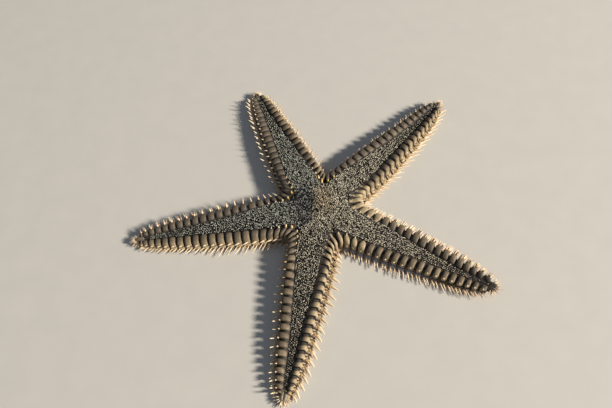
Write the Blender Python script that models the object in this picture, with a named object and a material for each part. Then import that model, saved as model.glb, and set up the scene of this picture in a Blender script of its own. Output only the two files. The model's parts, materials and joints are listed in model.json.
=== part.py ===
"""A two-spined sea star, life size, lying flat with its five arms spread.

Metres, +Z up. The underside rests on z = 0. Each arm is measured in its own frame: x runs out
from the centre of the disc along the arm, y to the arm's left, and z up.
"""
import math

import bmesh
import bpy
import numpy as np
from mathutils import Matrix, Vector

MM = 0.001
GAP = 0.3 * MM                     # kept between pieces that meet

# Driving sizes
DISC_CENTRE = (5.3 * MM, 1.6 * MM)   # middle of the disc, so that the whole star's box is centred
DISC_APOTHEM = 8.0 * MM            # centre of the disc to the face that an arm grows from
DISC_TOP = 7.0 * MM
DISC_FALL = 0.6 * MM               # how much lower the disc is at its corners
CONE_RISE = 0.6 * MM               # the small cone in the middle of the back
CONE_RADIUS = 1.0 * MM

# name, direction in degrees, length from the disc's centre to the tip, sideways bow, lift of the
# tip, then for the left and the right edge how long and how wide the spines are, as shares
ARMS = (
    ("arm_far_left", 108.3, 60.6 * MM, 0.2 * MM, 0.6 * MM, (0.95, 1.0), (1.08, 1.0)),
    ("arm_far_right", 40.7, 64.9 * MM, -0.45 * MM, 2.2 * MM, (0.86, 1.0), (1.0, 1.0)),
    ("arm_right", -33.4, 61.4 * MM, 0.2 * MM, 2.0 * MM, (1.15, 0.9), (1.1, 0.9)),
    ("arm_near", -105.2, 63.0 * MM, 0.3 * MM, 0.0, (0.74, 1.4), (1.05, 1.0)),
    ("arm_left", -177.5, 62.7 * MM, 0.4 * MM, 0.4 * MM, (0.88, 1.0), (1.0, 1.0)),
)
BOW_START = 12.0 * MM              # an arm is straight up to here
LIFT_START = 0.68                  # and lies flat up to this share of its length
TIP_LENGTH = 2.2 * MM              # the end plate that closes each arm

# Sizes along an arm, as (share of the arm beyond the disc, size)
HALF_WIDTH = ((0.05, 9.4), (0.074, 8.75), (0.093, 8.4), (0.13, 8.15), (0.222, 7.9), (0.407, 7.2),
              (0.593, 6.1), (0.778, 4.9), (0.87, 4.0), (0.926, 3.05), (0.963, 2.25), (1.0, 1.3))
FIELD_HALF_WIDTH = ((0.0, 5.3), (0.02, 4.7), (0.09, 4.75), (0.19, 4.35), (0.407, 3.0),
                    (0.593, 1.95), (0.778, 1.15), (0.87, 0.75), (1.0, 0.3))
CROWN_HEIGHT = ((0.0, 6.3), (0.13, 6.05), (0.407, 5.5), (0.593, 5.0), (0.778, 4.2), (0.87, 3.6),
                (0.963, 2.6), (1.0, 2.1))
FIELD_HEIGHT = ((0.0, 6.43), (0.13, 5.7), (0.407, 4.6), (0.593, 3.85), (0.778, 3.1), (0.87, 2.6),
                (1.0, 1.5))
FIELD_DOME = 0.17 * MM

LEDGE_HEIGHT = 0.7 * MM            # the bottom of the lower plates' rim
SPINE_HEIGHT = 1.16 * MM           # where the fringe of spines grows from the rim
LEDGE_TOP = 1.65 * MM
PLATE_SETBACK = 0.7 * MM           # from the rim in to the upper plates' outer faces
GROOVE_DEPTH = 0.5 * MM            # between two upper plates

# The grooves between the upper plates of an edge. Those of the fan at the disc are given as where
# each one's inner and outer end lie along the arm, and the others follow at a spacing.
FIRST_EDGE = (8.6, 12.0)
FAN = ((10.2, 12.9), (12.5, 14.35), (15.0, 16.2), (17.55, 18.3), (20.2, 20.7))
PLATE_SPACING = ((0.2, 2.75), (0.47, 2.75), (0.62, 2.6), (0.76, 2.45), (0.85, 2.2), (0.92, 1.9),
                 (1.0, 1.4))
AVERAGE_ARM = 62.0 * MM            # the arm that the spacings are given for
GROOVE_SHARE = 0.13                # of a spacing, on each side of a groove's bottom
HIGH_SIZE = 4.5 * MM               # an arm lower than this has a lower ledge too

SPINE_LENGTH = ((0.05, 1.7), (0.22, 2.9), (0.5, 3.2), (0.8, 2.9), (1.0, 2.3))
SPINE_HALF_WIDTH = 0.36 * MM
SPINE_HALF_THICKNESS = 0.27 * MM
# degrees that a spine leans towards the tip
SPINE_LEAN = ((0.1, 47.0), (0.14, 36.0), (0.22, 24.0), (0.4, 27.0), (1.0, 48.0))
SPINE_ROOT = 0.8 * MM              # how deep a spine starts
TIP_SPINES = ((-62, 2.2), (-24, 2.3), (24, 2.3), (62, 2.2))   # degrees off the arm, length

# The groove for the feet under each arm
FURROW_HALF_WIDTH = 1.8 * MM
FURROW_DEPTH = 1.9 * MM
FURROW_ROOF_SHARE = 0.45
FURROW_END_SHARE = 0.42            # its size at the arm's tip, as a share of that at the centre
FOOT_RADIUS = 0.5 * MM
FOOT_SPACING = 5.6 * MM
FOOT_CLEARANCE = 0.35 * MM         # between a foot and the floor

MOUTH_RADIUS = 6.0 * MM
MOUTH_DEPTH = 1.7 * MM
JAW_FLOOR = 0.25 * MM
JAW_TIP_RADIUS = 2.7 * MM
JAW_SPINE_REACH = 1.4 * MM

SIEVE_RADIUS = 1.1 * MM            # the sieve plate on the back
SIEVE_PLACE = 7.5 * MM             # its distance from the disc's centre
SIEVE_DEPTH = 1.0 * MM
SIEVE_PROUD = 0.25 * MM

SKIN_COLOUR = (0.19, 0.155, 0.115, 1.0)
FIELD_COLOUR = (0.13, 0.12, 0.10, 1.0)
TIP_COLOUR = (0.05, 0.045, 0.045, 1.0)
JAW_COLOUR = (0.45, 0.38, 0.29, 1.0)
SIEVE_COLOUR = (0.35, 0.29, 0.2, 1.0)


def along(profile, share):
    """The size that a profile has at a share of the arm, in metres."""
    return float(np.interp(share, [p[0] for p in profile], [p[1] for p in profile])) * MM


def unit(degrees):
    return Vector((math.cos(math.radians(degrees)), math.sin(math.radians(degrees)), 0))


def half_angles(index):
    """Half of the angle to the next arm on the left, and to the one on the right, in radians."""
    here, left, right = (ARMS[(index + k) % len(ARMS)][1] for k in (0, -1, 1))
    return (math.radians((left - here) % 360) / 2, math.radians((here - right) % 360) / 2)


def share_of(arm, x):
    return (x - DISC_APOTHEM) / (arm[2] - DISC_APOTHEM)


def arm_matrix(arm):
    """Carries an arm's own frame to the star's."""
    turn = Matrix.Rotation(math.radians(arm[1]), 4, "Z")
    return Matrix.Translation((*DISC_CENTRE, 0)) @ turn


def bowed(arm, x, y, z):
    """A point of the straight arm, moved by the arm's sideways bow and by the lift of its tip."""
    share = max(0.0, (x - BOW_START) / (arm[2] - BOW_START))
    beyond = max(0.0, (x / arm[2] - LIFT_START) / (1 - LIFT_START))
    return Vector((x, y + arm[3] * math.sin(math.pi * min(share, 1.0)), z + arm[4] * beyond ** 2))


def bend(bm, arm):
    for v in bm.verts:
        v.co = bowed(arm, *v.co)


def material(name, colour, roughness):
    made = bpy.data.materials.new(name)
    made.use_nodes = True
    shader = made.node_tree.nodes["Principled BSDF"]
    shader.inputs["Base Color"].default_value = colour
    shader.inputs["Roughness"].default_value = roughness
    shader.inputs["Metallic"].default_value = 0.0
    return made


def object_from(bm, name, collection, finish=None):
    bm.normal_update()
    bmesh.ops.recalc_face_normals(bm, faces=bm.faces)
    mesh = bpy.data.meshes.new(name)
    bm.to_mesh(mesh)
    bm.free()
    made = bpy.data.objects.new(name, mesh)
    collection.objects.link(made)
    if finish:
        mesh.materials.append(finish)
    return made


def loft(rings):
    """A closed body through rings of the same number of points, with its two ends capped."""
    bm = bmesh.new()
    rows = [[bm.verts.new(p) for p in ring] for ring in rings]
    for low, high in zip(rows, rows[1:]):
        for k in range(len(low)):
            n = (k + 1) % len(low)
            bm.faces.new((low[k], low[n], high[n], high[k]))
    bm.faces.new(rows[0])
    bm.faces.new(rows[-1])
    return bm


def cutter(bm, name):
    made = object_from(bm, name, CUTTERS)
    made.hide_render = True
    made.display_type = "WIRE"
    return made


def apply_boolean(target, operation, pieces):
    """Joins or cuts target with a list of closed objects, and removes them."""
    group = bpy.data.collections.new(target.name + "_pieces")
    bpy.context.scene.collection.children.link(group)
    for piece in pieces:
        group.objects.link(piece)
    change = target.modifiers.new("change", "BOOLEAN")
    change.operation = operation
    change.operand_type = "COLLECTION"
    change.collection = group
    change.solver = "EXACT"
    graph = bpy.context.evaluated_depsgraph_get()
    changed = bpy.data.meshes.new_from_object(target.evaluated_get(graph))
    target.modifiers.clear()
    target.data = changed
    for piece in list(group.objects):
        bpy.data.objects.remove(piece)
    bpy.data.collections.remove(group)


def edges_at(arm, half, x):
    """An arm's margin, the edge of its grainy field, and how free of the next arm the margin is."""
    share = share_of(arm, x)
    wall = x * math.tan(half) - GAP / 2 / math.cos(half)
    free = along(HALF_WIDTH, max(share, HALF_WIDTH[0][0]))
    margin = min(free, wall)
    inner = min(along(FIELD_HALF_WIDTH, share), margin - 0.4 * MM)
    return margin, inner, min(1.0, max(0.0, (wall - free) / MM))


def lowness(arm, x):
    """How large the edge's small features are at x: they shrink where the arm is low."""
    return min(1.0, along(CROWN_HEIGHT, share_of(arm, x)) / HIGH_SIZE)


def section(arm, halves, x):
    """The ring of points round an arm at x: up its right side, over its back and down its left."""
    share = share_of(arm, x)
    crown = along(CROWN_HEIGHT, share)
    field = along(FIELD_HEIGHT, share)
    low = lowness(arm, x)
    points = []
    for side, half in ((-1, halves[1]), (1, halves[0])):
        margin, inner, free = edges_at(arm, half, x)
        bar = margin - inner
        half_ring = [
            (margin - 0.9 * MM * low * free, 0.0),
            (margin, LEDGE_HEIGHT * low),
            (margin - 0.15 * MM * free, LEDGE_TOP * low),
            (margin - 1.3 * MM * low * free, (LEDGE_TOP + 0.1 * MM) * low),
            (margin - 0.4 * bar * free, 0.75 * crown),
            (inner, field),
        ]
        ring = [bowed(arm, x, side * y, z) for y, z in half_ring]
        points.append(ring if side < 0 else ring[::-1])
    top = bowed(arm, x, 0, field + FIELD_DOME)
    return points[0] + [top] + points[1]


def furrow_half_width(arm, x):
    """Half the width of the groove under an arm at x, at the level of the floor."""
    return FURROW_HALF_WIDTH * (1 - (1 - FURROW_END_SHARE) * x / arm[2])


def furrow_cutter(arm, name):
    """The groove under an arm, from the mouth to the arm's tip."""
    slope = (1 - FURROW_ROOF_SHARE) / FURROW_DEPTH
    rings = []
    for share in (0.0, 0.2, 0.45, LIFT_START, 0.84, 1.0):
        x = share * arm[2]
        half = furrow_half_width(arm, x)
        size = half / FURROW_HALF_WIDTH
        foot = half * (1 + slope * MM)
        roof = half * FURROW_ROOF_SHARE
        depth = FURROW_DEPTH * size
        rings.append([Vector((x, -foot, -MM * size)), Vector((x, foot, -MM * size)),
                      Vector((x, roof, depth)), Vector((x, -roof, depth))])
    bm = loft(rings)
    bend(bm, arm)
    bm.transform(arm_matrix(arm))
    return cutter(bm, name)


def cut_flat(bm, point, normal):
    """Removes what lies behind a plane, and closes the cut. The normal points at what stays."""
    cut = bmesh.ops.bisect_plane(
        bm, geom=bm.verts[:] + bm.edges[:] + bm.faces[:], clear_inner=True, plane_co=point,
        plane_no=normal)
    rim = [e for e in cut["geom_cut"] if isinstance(e, bmesh.types.BMEdge)]
    bmesh.ops.contextual_create(bm, geom=rim)


def grooves_of(arm):
    """The ends of each groove between two upper plates, as places along the arm."""
    ends = [(inner * MM, outer * MM) for inner, outer in (FIRST_EDGE,) + FAN]
    last = arm[2] - TIP_LENGTH - GAP / 2 - 0.2 * MM
    x = ends[-1][1]
    while True:
        spacing = along(PLATE_SPACING, share_of(arm, x)) * arm[2] / AVERAGE_ARM
        if x + 1.4 * spacing > last:
            break
        x += spacing
        ends.append((x, x))
    return ends + [(last, last)]


def band_ring(arm, half, side, inner_x, outer_x, rise, sunk, at_wall=False):
    """One section of the band of upper plates, over the edge from the grainy field to the ledge."""
    near = Vector((inner_x, edges_at(arm, half, inner_x)[1] - 0.1 * MM, 0))
    setback = PLATE_SETBACK * lowness(arm, outer_x)
    far = Vector((outer_x, edges_at(arm, half, outer_x)[0] - setback, 0))
    if at_wall:
        for end in (near, far):
            end.y = end.x * math.tan(half) - (GAP / 2 + 0.12 * MM) / math.cos(half)
    out = (far - near).normalized()
    length = (far - near).length
    middle_x = (inner_x + outer_x) / 2
    low = lowness(arm, middle_x)
    crown = along(CROWN_HEIGHT, share_of(arm, middle_x)) + rise
    field = along(FIELD_HEIGHT, share_of(arm, inner_x))
    down = sunk * low
    profile = [
        (0.0, field - 0.15 * MM),
        (0.34 * length, crown - down),
        (0.9 * length - 0.7 * down, 0.86 * crown - 0.8 * down),
        (length - 0.85 * down, LEDGE_TOP * low - 0.15 * MM),
        (length - 1.6 * MM * low, 0.5 * LEDGE_TOP * low),
        (0.1 * length, field - 2.4 * MM * low),
    ]
    ring = []
    for reach, z in profile:
        place = near + out * reach
        ring.append(bowed(arm, place.x, side * place.y, z))
    return ring


def plate_band(arm, half, side, rng):
    """All the upper plates of one edge, as a band with a groove between each two plates."""
    grooves = grooves_of(arm)
    rings = []
    for k, (here, following) in enumerate(zip(grooves, grooves[1:])):
        rise = rng.uniform(-0.07, 0.07) * MM
        share = GROOVE_SHARE * rng.uniform(0.9, 1.1)
        first = 0.0 if k == 0 else share
        last = 1.0 if k == len(grooves) - 2 else 1.0 - share
        for place in (first, last):
            inner_x, outer_x = (a + (b - a) * place for a, b in zip(here, following))
            rings.append(band_ring(arm, half, side, inner_x, outer_x, rise, 0.0,
                                   at_wall=place == 0.0))
        if last < 1.0:
            rings.append(band_ring(arm, half, side, *following, 0.0, GROOVE_DEPTH))
    return object_from(loft(rings), "plate_band", PARTS)


def spike(rings, point):
    """A closed body through rings that ends in a point."""
    bm = bmesh.new()
    rows = [[bm.verts.new(p) for p in ring] for ring in rings]
    top = bm.verts.new(point)
    for low, high in zip(rows, rows[1:]):
        for k in range(len(low)):
            n = (k + 1) % len(low)
            bm.faces.new((low[k], low[n], high[n], high[k]))
    bm.faces.new(rows[0])
    for k in range(len(rows[-1])):
        bm.faces.new((rows[-1][k], rows[-1][(k + 1) % len(rows[-1])], top))
    return bm


def spine(root, point, half_width, half_thickness, name="spine"):
    """A tapered, slightly flattened spine with four sides, from root to point."""
    run = point - root
    level = Vector((-run.y, run.x, 0)).normalized()
    over = run.cross(level).normalized()
    rings = []
    for share, size in ((0.0, 1.0), (0.66, 0.74)):
        middle = root + run * share
        rings.append([middle + level * half_width * size, middle + over * half_thickness * size,
                      middle - level * half_width * size, middle - over * half_thickness * size])
    return object_from(spike(rings, point), name, PARTS)


def fringe_spine(arm, half, side, x, rng):
    """One spine on the rim of the lower plates, leaning towards the arm's tip."""
    share = share_of(arm, x)
    margin = edges_at(arm, half, x)[0]
    lean = math.radians(float(np.interp(share, *zip(*SPINE_LEAN))) + rng.uniform(-6, 6))
    lift = math.radians(rng.uniform(-4, 9))
    way = Vector((math.sin(lean) * math.cos(lift), math.cos(lean) * math.cos(lift),
                  math.sin(lift)))
    base = Vector((x, margin, SPINE_HEIGHT * lowness(arm, x)))
    root = base - way * SPINE_ROOT
    long, wide = arm[5] if side > 0 else arm[6]
    point = base + way * along(SPINE_LENGTH, share) * long * rng.uniform(0.9, 1.1)
    return spine(bowed(arm, root.x, side * root.y, root.z),
                 bowed(arm, point.x, side * point.y, point.z), SPINE_HALF_WIDTH * wide,
                 SPINE_HALF_THICKNESS)


def feet_of(arm):
    """The feet in the groove, two rows of pointed cones that end just above the floor."""
    made = []
    x = DISC_APOTHEM + 1.6 * MM
    while x < arm[2] - TIP_LENGTH - 2 * MM:
        half = furrow_half_width(arm, x)
        size = half / FURROW_HALF_WIDTH
        roof = FURROW_DEPTH * size
        radius = FOOT_RADIUS * (0.35 + 0.65 * size)
        for side in (-1, 1):
            y = side * FURROW_ROOF_SHARE * half * 0.8
            rings = []
            for z, r, shift in ((roof + 0.6 * MM, radius, 1.0), (0.5 * roof, 0.8 * radius, 1.1)):
                middle = Vector((x, y * shift, z))
                rings.append([middle + Vector((r * math.cos(a), r * math.sin(a), 0))
                              for a in (0.4 + k * math.pi / 2 for k in range(4))])
            bm = spike(rings, (x, y * 1.2, FOOT_CLEARANCE))
            bend(bm, arm)
            made.append(object_from(bm, "foot", PARTS))
        x += FOOT_SPACING
    return made


def largest_surface(obj):
    """Keeps only the largest closed surface of an object, in case a join left a sliver."""
    bm = bmesh.new()
    bm.from_mesh(obj.data)
    seen, groups = set(), []
    for start in bm.faces:
        if start in seen:
            continue
        group, stack = [], [start]
        seen.add(start)
        while stack:
            face = stack.pop()
            group.append(face)
            for edge in face.edges:
                for other in edge.link_faces:
                    if other not in seen:
                        seen.add(other)
                        stack.append(other)
        groups.append(group)
    groups.sort(key=len)
    for group in groups[:-1]:
        bmesh.ops.delete(bm, geom=group, context="FACES")
    bm.to_mesh(obj.data)
    bm.free()


def make_arm(index):
    arm = ARMS[index]
    rng = np.random.default_rng(100 + index)
    halves = half_angles(index)
    start = DISC_APOTHEM + GAP / 2
    end = arm[2] - TIP_LENGTH - GAP / 2
    shares = (0.02, 0.05, 0.074, 0.085, 0.11, 0.19, 0.4, 0.59, 0.77, 0.87, 0.93)
    stations = [DISC_APOTHEM + s * (arm[2] - DISC_APOTHEM) for s in shares]
    rings = [section(arm, halves, x) for x in [start] + stations + [end]]
    body = object_from(loft(rings), arm[0], PARTS, FINISHES["skin"])
    body.data.transform(arm_matrix(arm))
    apply_boolean(body, "DIFFERENCE", [furrow_cutter(arm, "furrow")])
    growths = feet_of(arm)
    grooves = grooves_of(arm)
    for side, half in ((-1, halves[1]), (1, halves[0])):
        growths.append(plate_band(arm, half, side, rng))
        for (_, low), (_, high) in zip(grooves[1:], grooves[2:]):
            growths.append(fringe_spine(arm, half, side, (low + high) / 2, rng))
    for piece in growths:
        piece.data.transform(arm_matrix(arm))
    apply_boolean(body, "UNION", growths)
    largest_surface(body)
    return body


def make_tip(arm):
    """The end plate of an arm, a small knob with a flat back and a fan of spines."""
    bm = bmesh.new()
    bmesh.ops.create_uvsphere(bm, u_segments=9, v_segments=5, radius=1.0)
    size = (TIP_LENGTH, 1.65 * MM, 1.15 * MM)
    bmesh.ops.scale(bm, vec=size, verts=bm.verts)
    bmesh.ops.translate(bm, vec=(arm[2] - TIP_LENGTH, 0, 1.25 * MM), verts=bm.verts)
    cut_flat(bm, (arm[2] - TIP_LENGTH + GAP / 2, 0, 0), (1, 0, 0))
    bend(bm, arm)
    body = object_from(bm, arm[0] + "_tip", PARTS, FINISHES["tip"])
    fan = []
    for degrees, length in TIP_SPINES:
        way = unit(degrees)
        middle = Vector((arm[2] - 0.5 * TIP_LENGTH, 0, 0.95 * MM))
        rim = middle + Vector((way.x * 0.45 * TIP_LENGTH, way.y * 1.3 * MM, 0))
        fan.append(spine(bowed(arm, *(rim - way * 0.5 * MM)),
                         bowed(arm, *(rim + way * length * MM)),
                         SPINE_HALF_THICKNESS * 1.1, SPINE_HALF_THICKNESS))
    apply_boolean(body, "UNION", fan)
    largest_surface(body)
    body.data.transform(arm_matrix(arm))
    return body


def disc_outline(apothem):
    """The disc seen from above: a corner between each two arms and three points along each side."""
    corners = []
    for index, arm in enumerate(ARMS):
        half = half_angles(index)[1]
        direction = arm[1] - math.degrees(half)
        corners.append(unit(direction) * (apothem / math.cos(half)))
    outline = []
    for index, corner in enumerate(corners):
        following = corners[(index + 1) % len(corners)]
        outline += [corner.lerp(following, k / 4) for k in range(4)]
    return outline


def disc_height(radius):
    """The height of the disc's back at a distance from its centre."""
    corner = DISC_APOTHEM / math.cos(math.radians(36))
    return DISC_TOP - DISC_FALL * (radius / corner) ** 2


def make_disc():
    outline = disc_outline(DISC_APOTHEM - GAP / 2)
    centre = Vector((*DISC_CENTRE, 0))
    rings = [[centre + p for p in outline]]
    for scale in (1.0, 0.6, 0.25, 0.11):
        lift = CONE_RISE * max(0.0, 1 - scale * DISC_APOTHEM / CONE_RADIUS)
        ring = [centre + p * scale for p in outline]
        for point, p in zip(ring, outline):
            point.z = disc_height(p.length * scale) + lift
        rings.append(ring)
    top = [centre + p * 0.04 + Vector((0, 0, DISC_TOP + CONE_RISE * 0.8)) for p in outline]
    body = object_from(loft(rings + [top]), "disc", PARTS, FINISHES["field"])
    cutters = [furrow_cutter(arm, "furrow_" + arm[0]) for arm in ARMS]
    cutters.append(round_cutter("mouth_recess", MOUTH_RADIUS, -MM, MOUTH_DEPTH, centre))
    socket_floor = disc_height(SIEVE_PLACE) - SIEVE_DEPTH
    place = centre + sieve_direction() * SIEVE_PLACE
    cutters.append(round_cutter("socket", SIEVE_RADIUS + GAP, socket_floor, 2 * DISC_TOP, place))
    apply_boolean(body, "DIFFERENCE", cutters)
    return body


def round_cutter(name, radius, low, high, place):
    bm = bmesh.new()
    bmesh.ops.create_cone(bm, cap_ends=True, segments=20, radius1=radius, radius2=radius,
                          depth=high - low)
    bmesh.ops.translate(bm, vec=(place.x, place.y, (low + high) / 2), verts=bm.verts)
    return cutter(bm, name)


def sieve_direction():
    """Half way between the right arm and the near one."""
    return unit(ARMS[2][1] - math.degrees(half_angles(2)[1]))


def make_sieve_plate():
    low = disc_height(SIEVE_PLACE) - SIEVE_DEPTH + GAP
    high = disc_height(SIEVE_PLACE) + SIEVE_PROUD
    bm = bmesh.new()
    bmesh.ops.create_cone(bm, cap_ends=True, segments=16, radius1=SIEVE_RADIUS,
                          radius2=SIEVE_RADIUS, depth=high - low)
    rim = [e for e in bm.edges if all(v.co.z > 0 for v in e.verts)]
    bmesh.ops.bevel(bm, geom=rim, offset=0.25 * MM, segments=1, affect="EDGES", profile=0.5,
                    material=-1)
    place = Vector((*DISC_CENTRE, (low + high) / 2)) + sieve_direction() * SIEVE_PLACE
    bmesh.ops.translate(bm, vec=place, verts=bm.verts)
    return object_from(bm, "sieve_plate", PARTS, FINISHES["sieve"])


def make_jaw(index):
    """One jaw, a wedge in the roof of the mouth between two grooves, with a spine at its tip."""
    half = half_angles(index)[1]
    direction = ARMS[index][1] - math.degrees(half)
    back = MOUTH_RADIUS - GAP - 0.1 * MM
    clear = FURROW_HALF_WIDTH + GAP / 2
    back_half = (back * math.sin(half) - clear) / math.cos(half)
    chamfer = 0.5 * MM
    low, high = JAW_FLOOR, MOUTH_DEPTH - GAP
    outline = [(JAW_TIP_RADIUS, -0.12 * MM), (back - chamfer, -back_half + chamfer),
               (back, -back_half + 2 * chamfer), (back, back_half - 2 * chamfer),
               (back - chamfer, back_half - chamfer), (JAW_TIP_RADIUS, 0.12 * MM)]
    wedge = loft([[Vector((x, y, z)) for x, y in outline] for z in (low, high)])
    body = object_from(wedge, f"jaw_{index + 1}", PARTS, FINISHES["jaw"])
    middle = (low + high) / 2
    root = Vector((JAW_TIP_RADIUS + 0.9 * MM, 0, middle))
    point = Vector((JAW_SPINE_REACH, 0, middle - 0.2 * MM))
    apply_boolean(body, "UNION", [spine(root, point, 0.3 * MM, 0.3 * MM)])
    body.data.transform(Matrix.Translation((*DISC_CENTRE, 0))
                        @ Matrix.Rotation(math.radians(direction), 4, "Z"))
    return body


for leftover in list(bpy.data.objects):
    bpy.data.objects.remove(leftover)
PARTS = bpy.data.collections.new("sea_star")
CUTTERS = bpy.data.collections.new("cutters")
for group in (PARTS, CUTTERS):
    bpy.context.scene.collection.children.link(group)
FINISHES = {
    "skin": material("skin", SKIN_COLOUR, 0.6),
    "field": material("field", FIELD_COLOUR, 0.8),
    "tip": material("tip", TIP_COLOUR, 0.5),
    "jaw": material("jaw", JAW_COLOUR, 0.6),
    "sieve": material("sieve", SIEVE_COLOUR, 0.7),
}

make_disc()
make_sieve_plate()
for number, one in enumerate(ARMS):
    make_arm(number)
    make_tip(one)
    make_jaw(number)
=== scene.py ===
# %% [markdown]
# # A two-spined sea star, life size
# A sand star is a flat animal with five arms. Block-like plates edge each arm in two tiers, one on
# the back and one on the rim below it, and the rim carries a fringe of spines. The grainy field
# between the plates of the back is made of paxillae, tiny stalks with a tufted head.
# The packed part gives the true sizes. This lesson dresses it: first the finishes, then one skin,
# the plates, the spines, the paxillae and the underside, and at the end the light and the camera.

# %% Load the part
import json
import math

import bmesh
import bpy
import numpy as np
from mathutils import Matrix, Vector
from mathutils.bvhtree import BVHTree
from mathutils.kdtree import KDTree

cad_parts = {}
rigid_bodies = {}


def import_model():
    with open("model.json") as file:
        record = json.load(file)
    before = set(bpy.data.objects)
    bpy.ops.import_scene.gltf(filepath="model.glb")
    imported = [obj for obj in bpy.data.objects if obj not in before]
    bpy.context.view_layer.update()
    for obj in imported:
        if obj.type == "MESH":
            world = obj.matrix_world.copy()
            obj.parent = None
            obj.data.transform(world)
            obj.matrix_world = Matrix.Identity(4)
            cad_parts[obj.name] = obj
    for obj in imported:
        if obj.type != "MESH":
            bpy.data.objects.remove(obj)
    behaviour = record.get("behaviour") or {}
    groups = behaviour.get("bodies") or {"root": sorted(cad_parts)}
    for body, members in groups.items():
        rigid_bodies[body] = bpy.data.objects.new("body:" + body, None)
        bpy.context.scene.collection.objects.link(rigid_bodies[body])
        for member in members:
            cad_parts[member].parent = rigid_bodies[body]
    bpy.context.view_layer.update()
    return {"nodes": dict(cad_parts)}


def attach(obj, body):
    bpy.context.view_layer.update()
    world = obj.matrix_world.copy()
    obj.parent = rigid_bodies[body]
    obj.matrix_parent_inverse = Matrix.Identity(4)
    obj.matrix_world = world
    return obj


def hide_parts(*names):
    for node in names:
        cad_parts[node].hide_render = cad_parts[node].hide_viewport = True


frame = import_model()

print("parts:", ", ".join(sorted(frame["nodes"])))

# %% [markdown]
# ## The star's own sizes
# A star is easiest to describe one arm at a time: x runs out from the middle of the disc, y to the
# arm's left, z up. Widths and heights along an arm are short lists of a share of the arm and a
# size, read off between their points. Everything is modelled in millimetres, and a mesh is turned
# to metres once, when it is finished.

# %% The disc and the arms
MM = 0.001
DISC_CENTRE = (5.3, 1.6)
DISC_APOTHEM = 8.0                 # from the disc's centre to the face that an arm grows from
DISC_TOP = 7.0
DISC_FALL = 0.6                    # how much lower the disc is at its corners
BOW_START = 12.0                   # an arm is straight up to here
LIFT_START = 0.68                  # and lies flat up to this share of its length
TIP_LENGTH = 2.2
HALF_WIDTH = ((0.05, 9.4), (0.074, 8.75), (0.093, 8.4), (0.13, 8.15), (0.222, 7.9), (0.407, 7.2),
              (0.593, 6.1), (0.778, 4.9), (0.87, 4.0), (0.926, 3.05), (0.963, 2.25), (1.0, 1.3))
FIELD_HALF_WIDTH = ((0.0, 5.3), (0.02, 4.7), (0.09, 4.75), (0.19, 4.35), (0.407, 3.0),
                    (0.593, 1.95), (0.778, 1.15), (0.87, 0.75), (1.0, 0.3))
CROWN_HEIGHT = ((0.0, 6.3), (0.13, 6.05), (0.407, 5.5), (0.593, 5.0), (0.778, 4.2), (0.87, 3.6),
                (0.963, 2.6), (1.0, 2.1))
FIELD_HEIGHT = ((0.0, 6.43), (0.13, 5.7), (0.407, 4.6), (0.593, 3.85), (0.778, 3.1), (0.87, 2.6),
                (1.0, 1.5))
FIELD_DOME = 0.17
LEDGE_TOP = 1.65                   # the top of the rim's plates
PLATE_SETBACK = 0.45               # from the rim in to the outer faces of the back's plates
# rows whose rim stands out as a step: how much broader it is, in millimetres
STEPS = {("near", 1): 0.8, ("far_right", -1): 0.8, ("right", -1): 0.25}
STEP_PINCH = 0.6                   # how much of that the field gives up
LEAST_FIELD = 0.75                 # the least share of its width that a step leaves to the field
WALL_GAP = 0.12                    # from the line half way to the next arm to an arm's rim
PLATE_ROOM = 0.4                   # the least width that the field leaves to the plates
SPINE_HEIGHT = 1.16                # where the fringe grows
HIGH_SIZE = 4.5                    # an arm lower than this has a lower rim too
FURROW_HALF_WIDTH = 1.8            # the groove for the feet, below each arm
FURROW_DEPTH = 1.9
FURROW_END_SHARE = 0.42            # its size at the tip, as a share of that at the centre
MOUTH_RADIUS = 5.8
MOUTH_DEPTH = 1.75
print("disc:", 2 * DISC_APOTHEM, "mm between its flats and", DISC_TOP, "mm high")

# %% [markdown]
# ## An arm that answers questions
# The same questions come up for every piece: how wide is the arm here, where does its field end,
# where on the whole star is this point? One class answers them in one place, so the skin, the
# plates and the spines fit each other whatever the sizes are.

# %% An arm's own frame
def from_centre(distance, turn):
    """The place this far from the disc's centre, in a direction in radians."""
    return (DISC_CENTRE[0] + distance * math.cos(turn),
            DISC_CENTRE[1] + distance * math.sin(turn))


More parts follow.
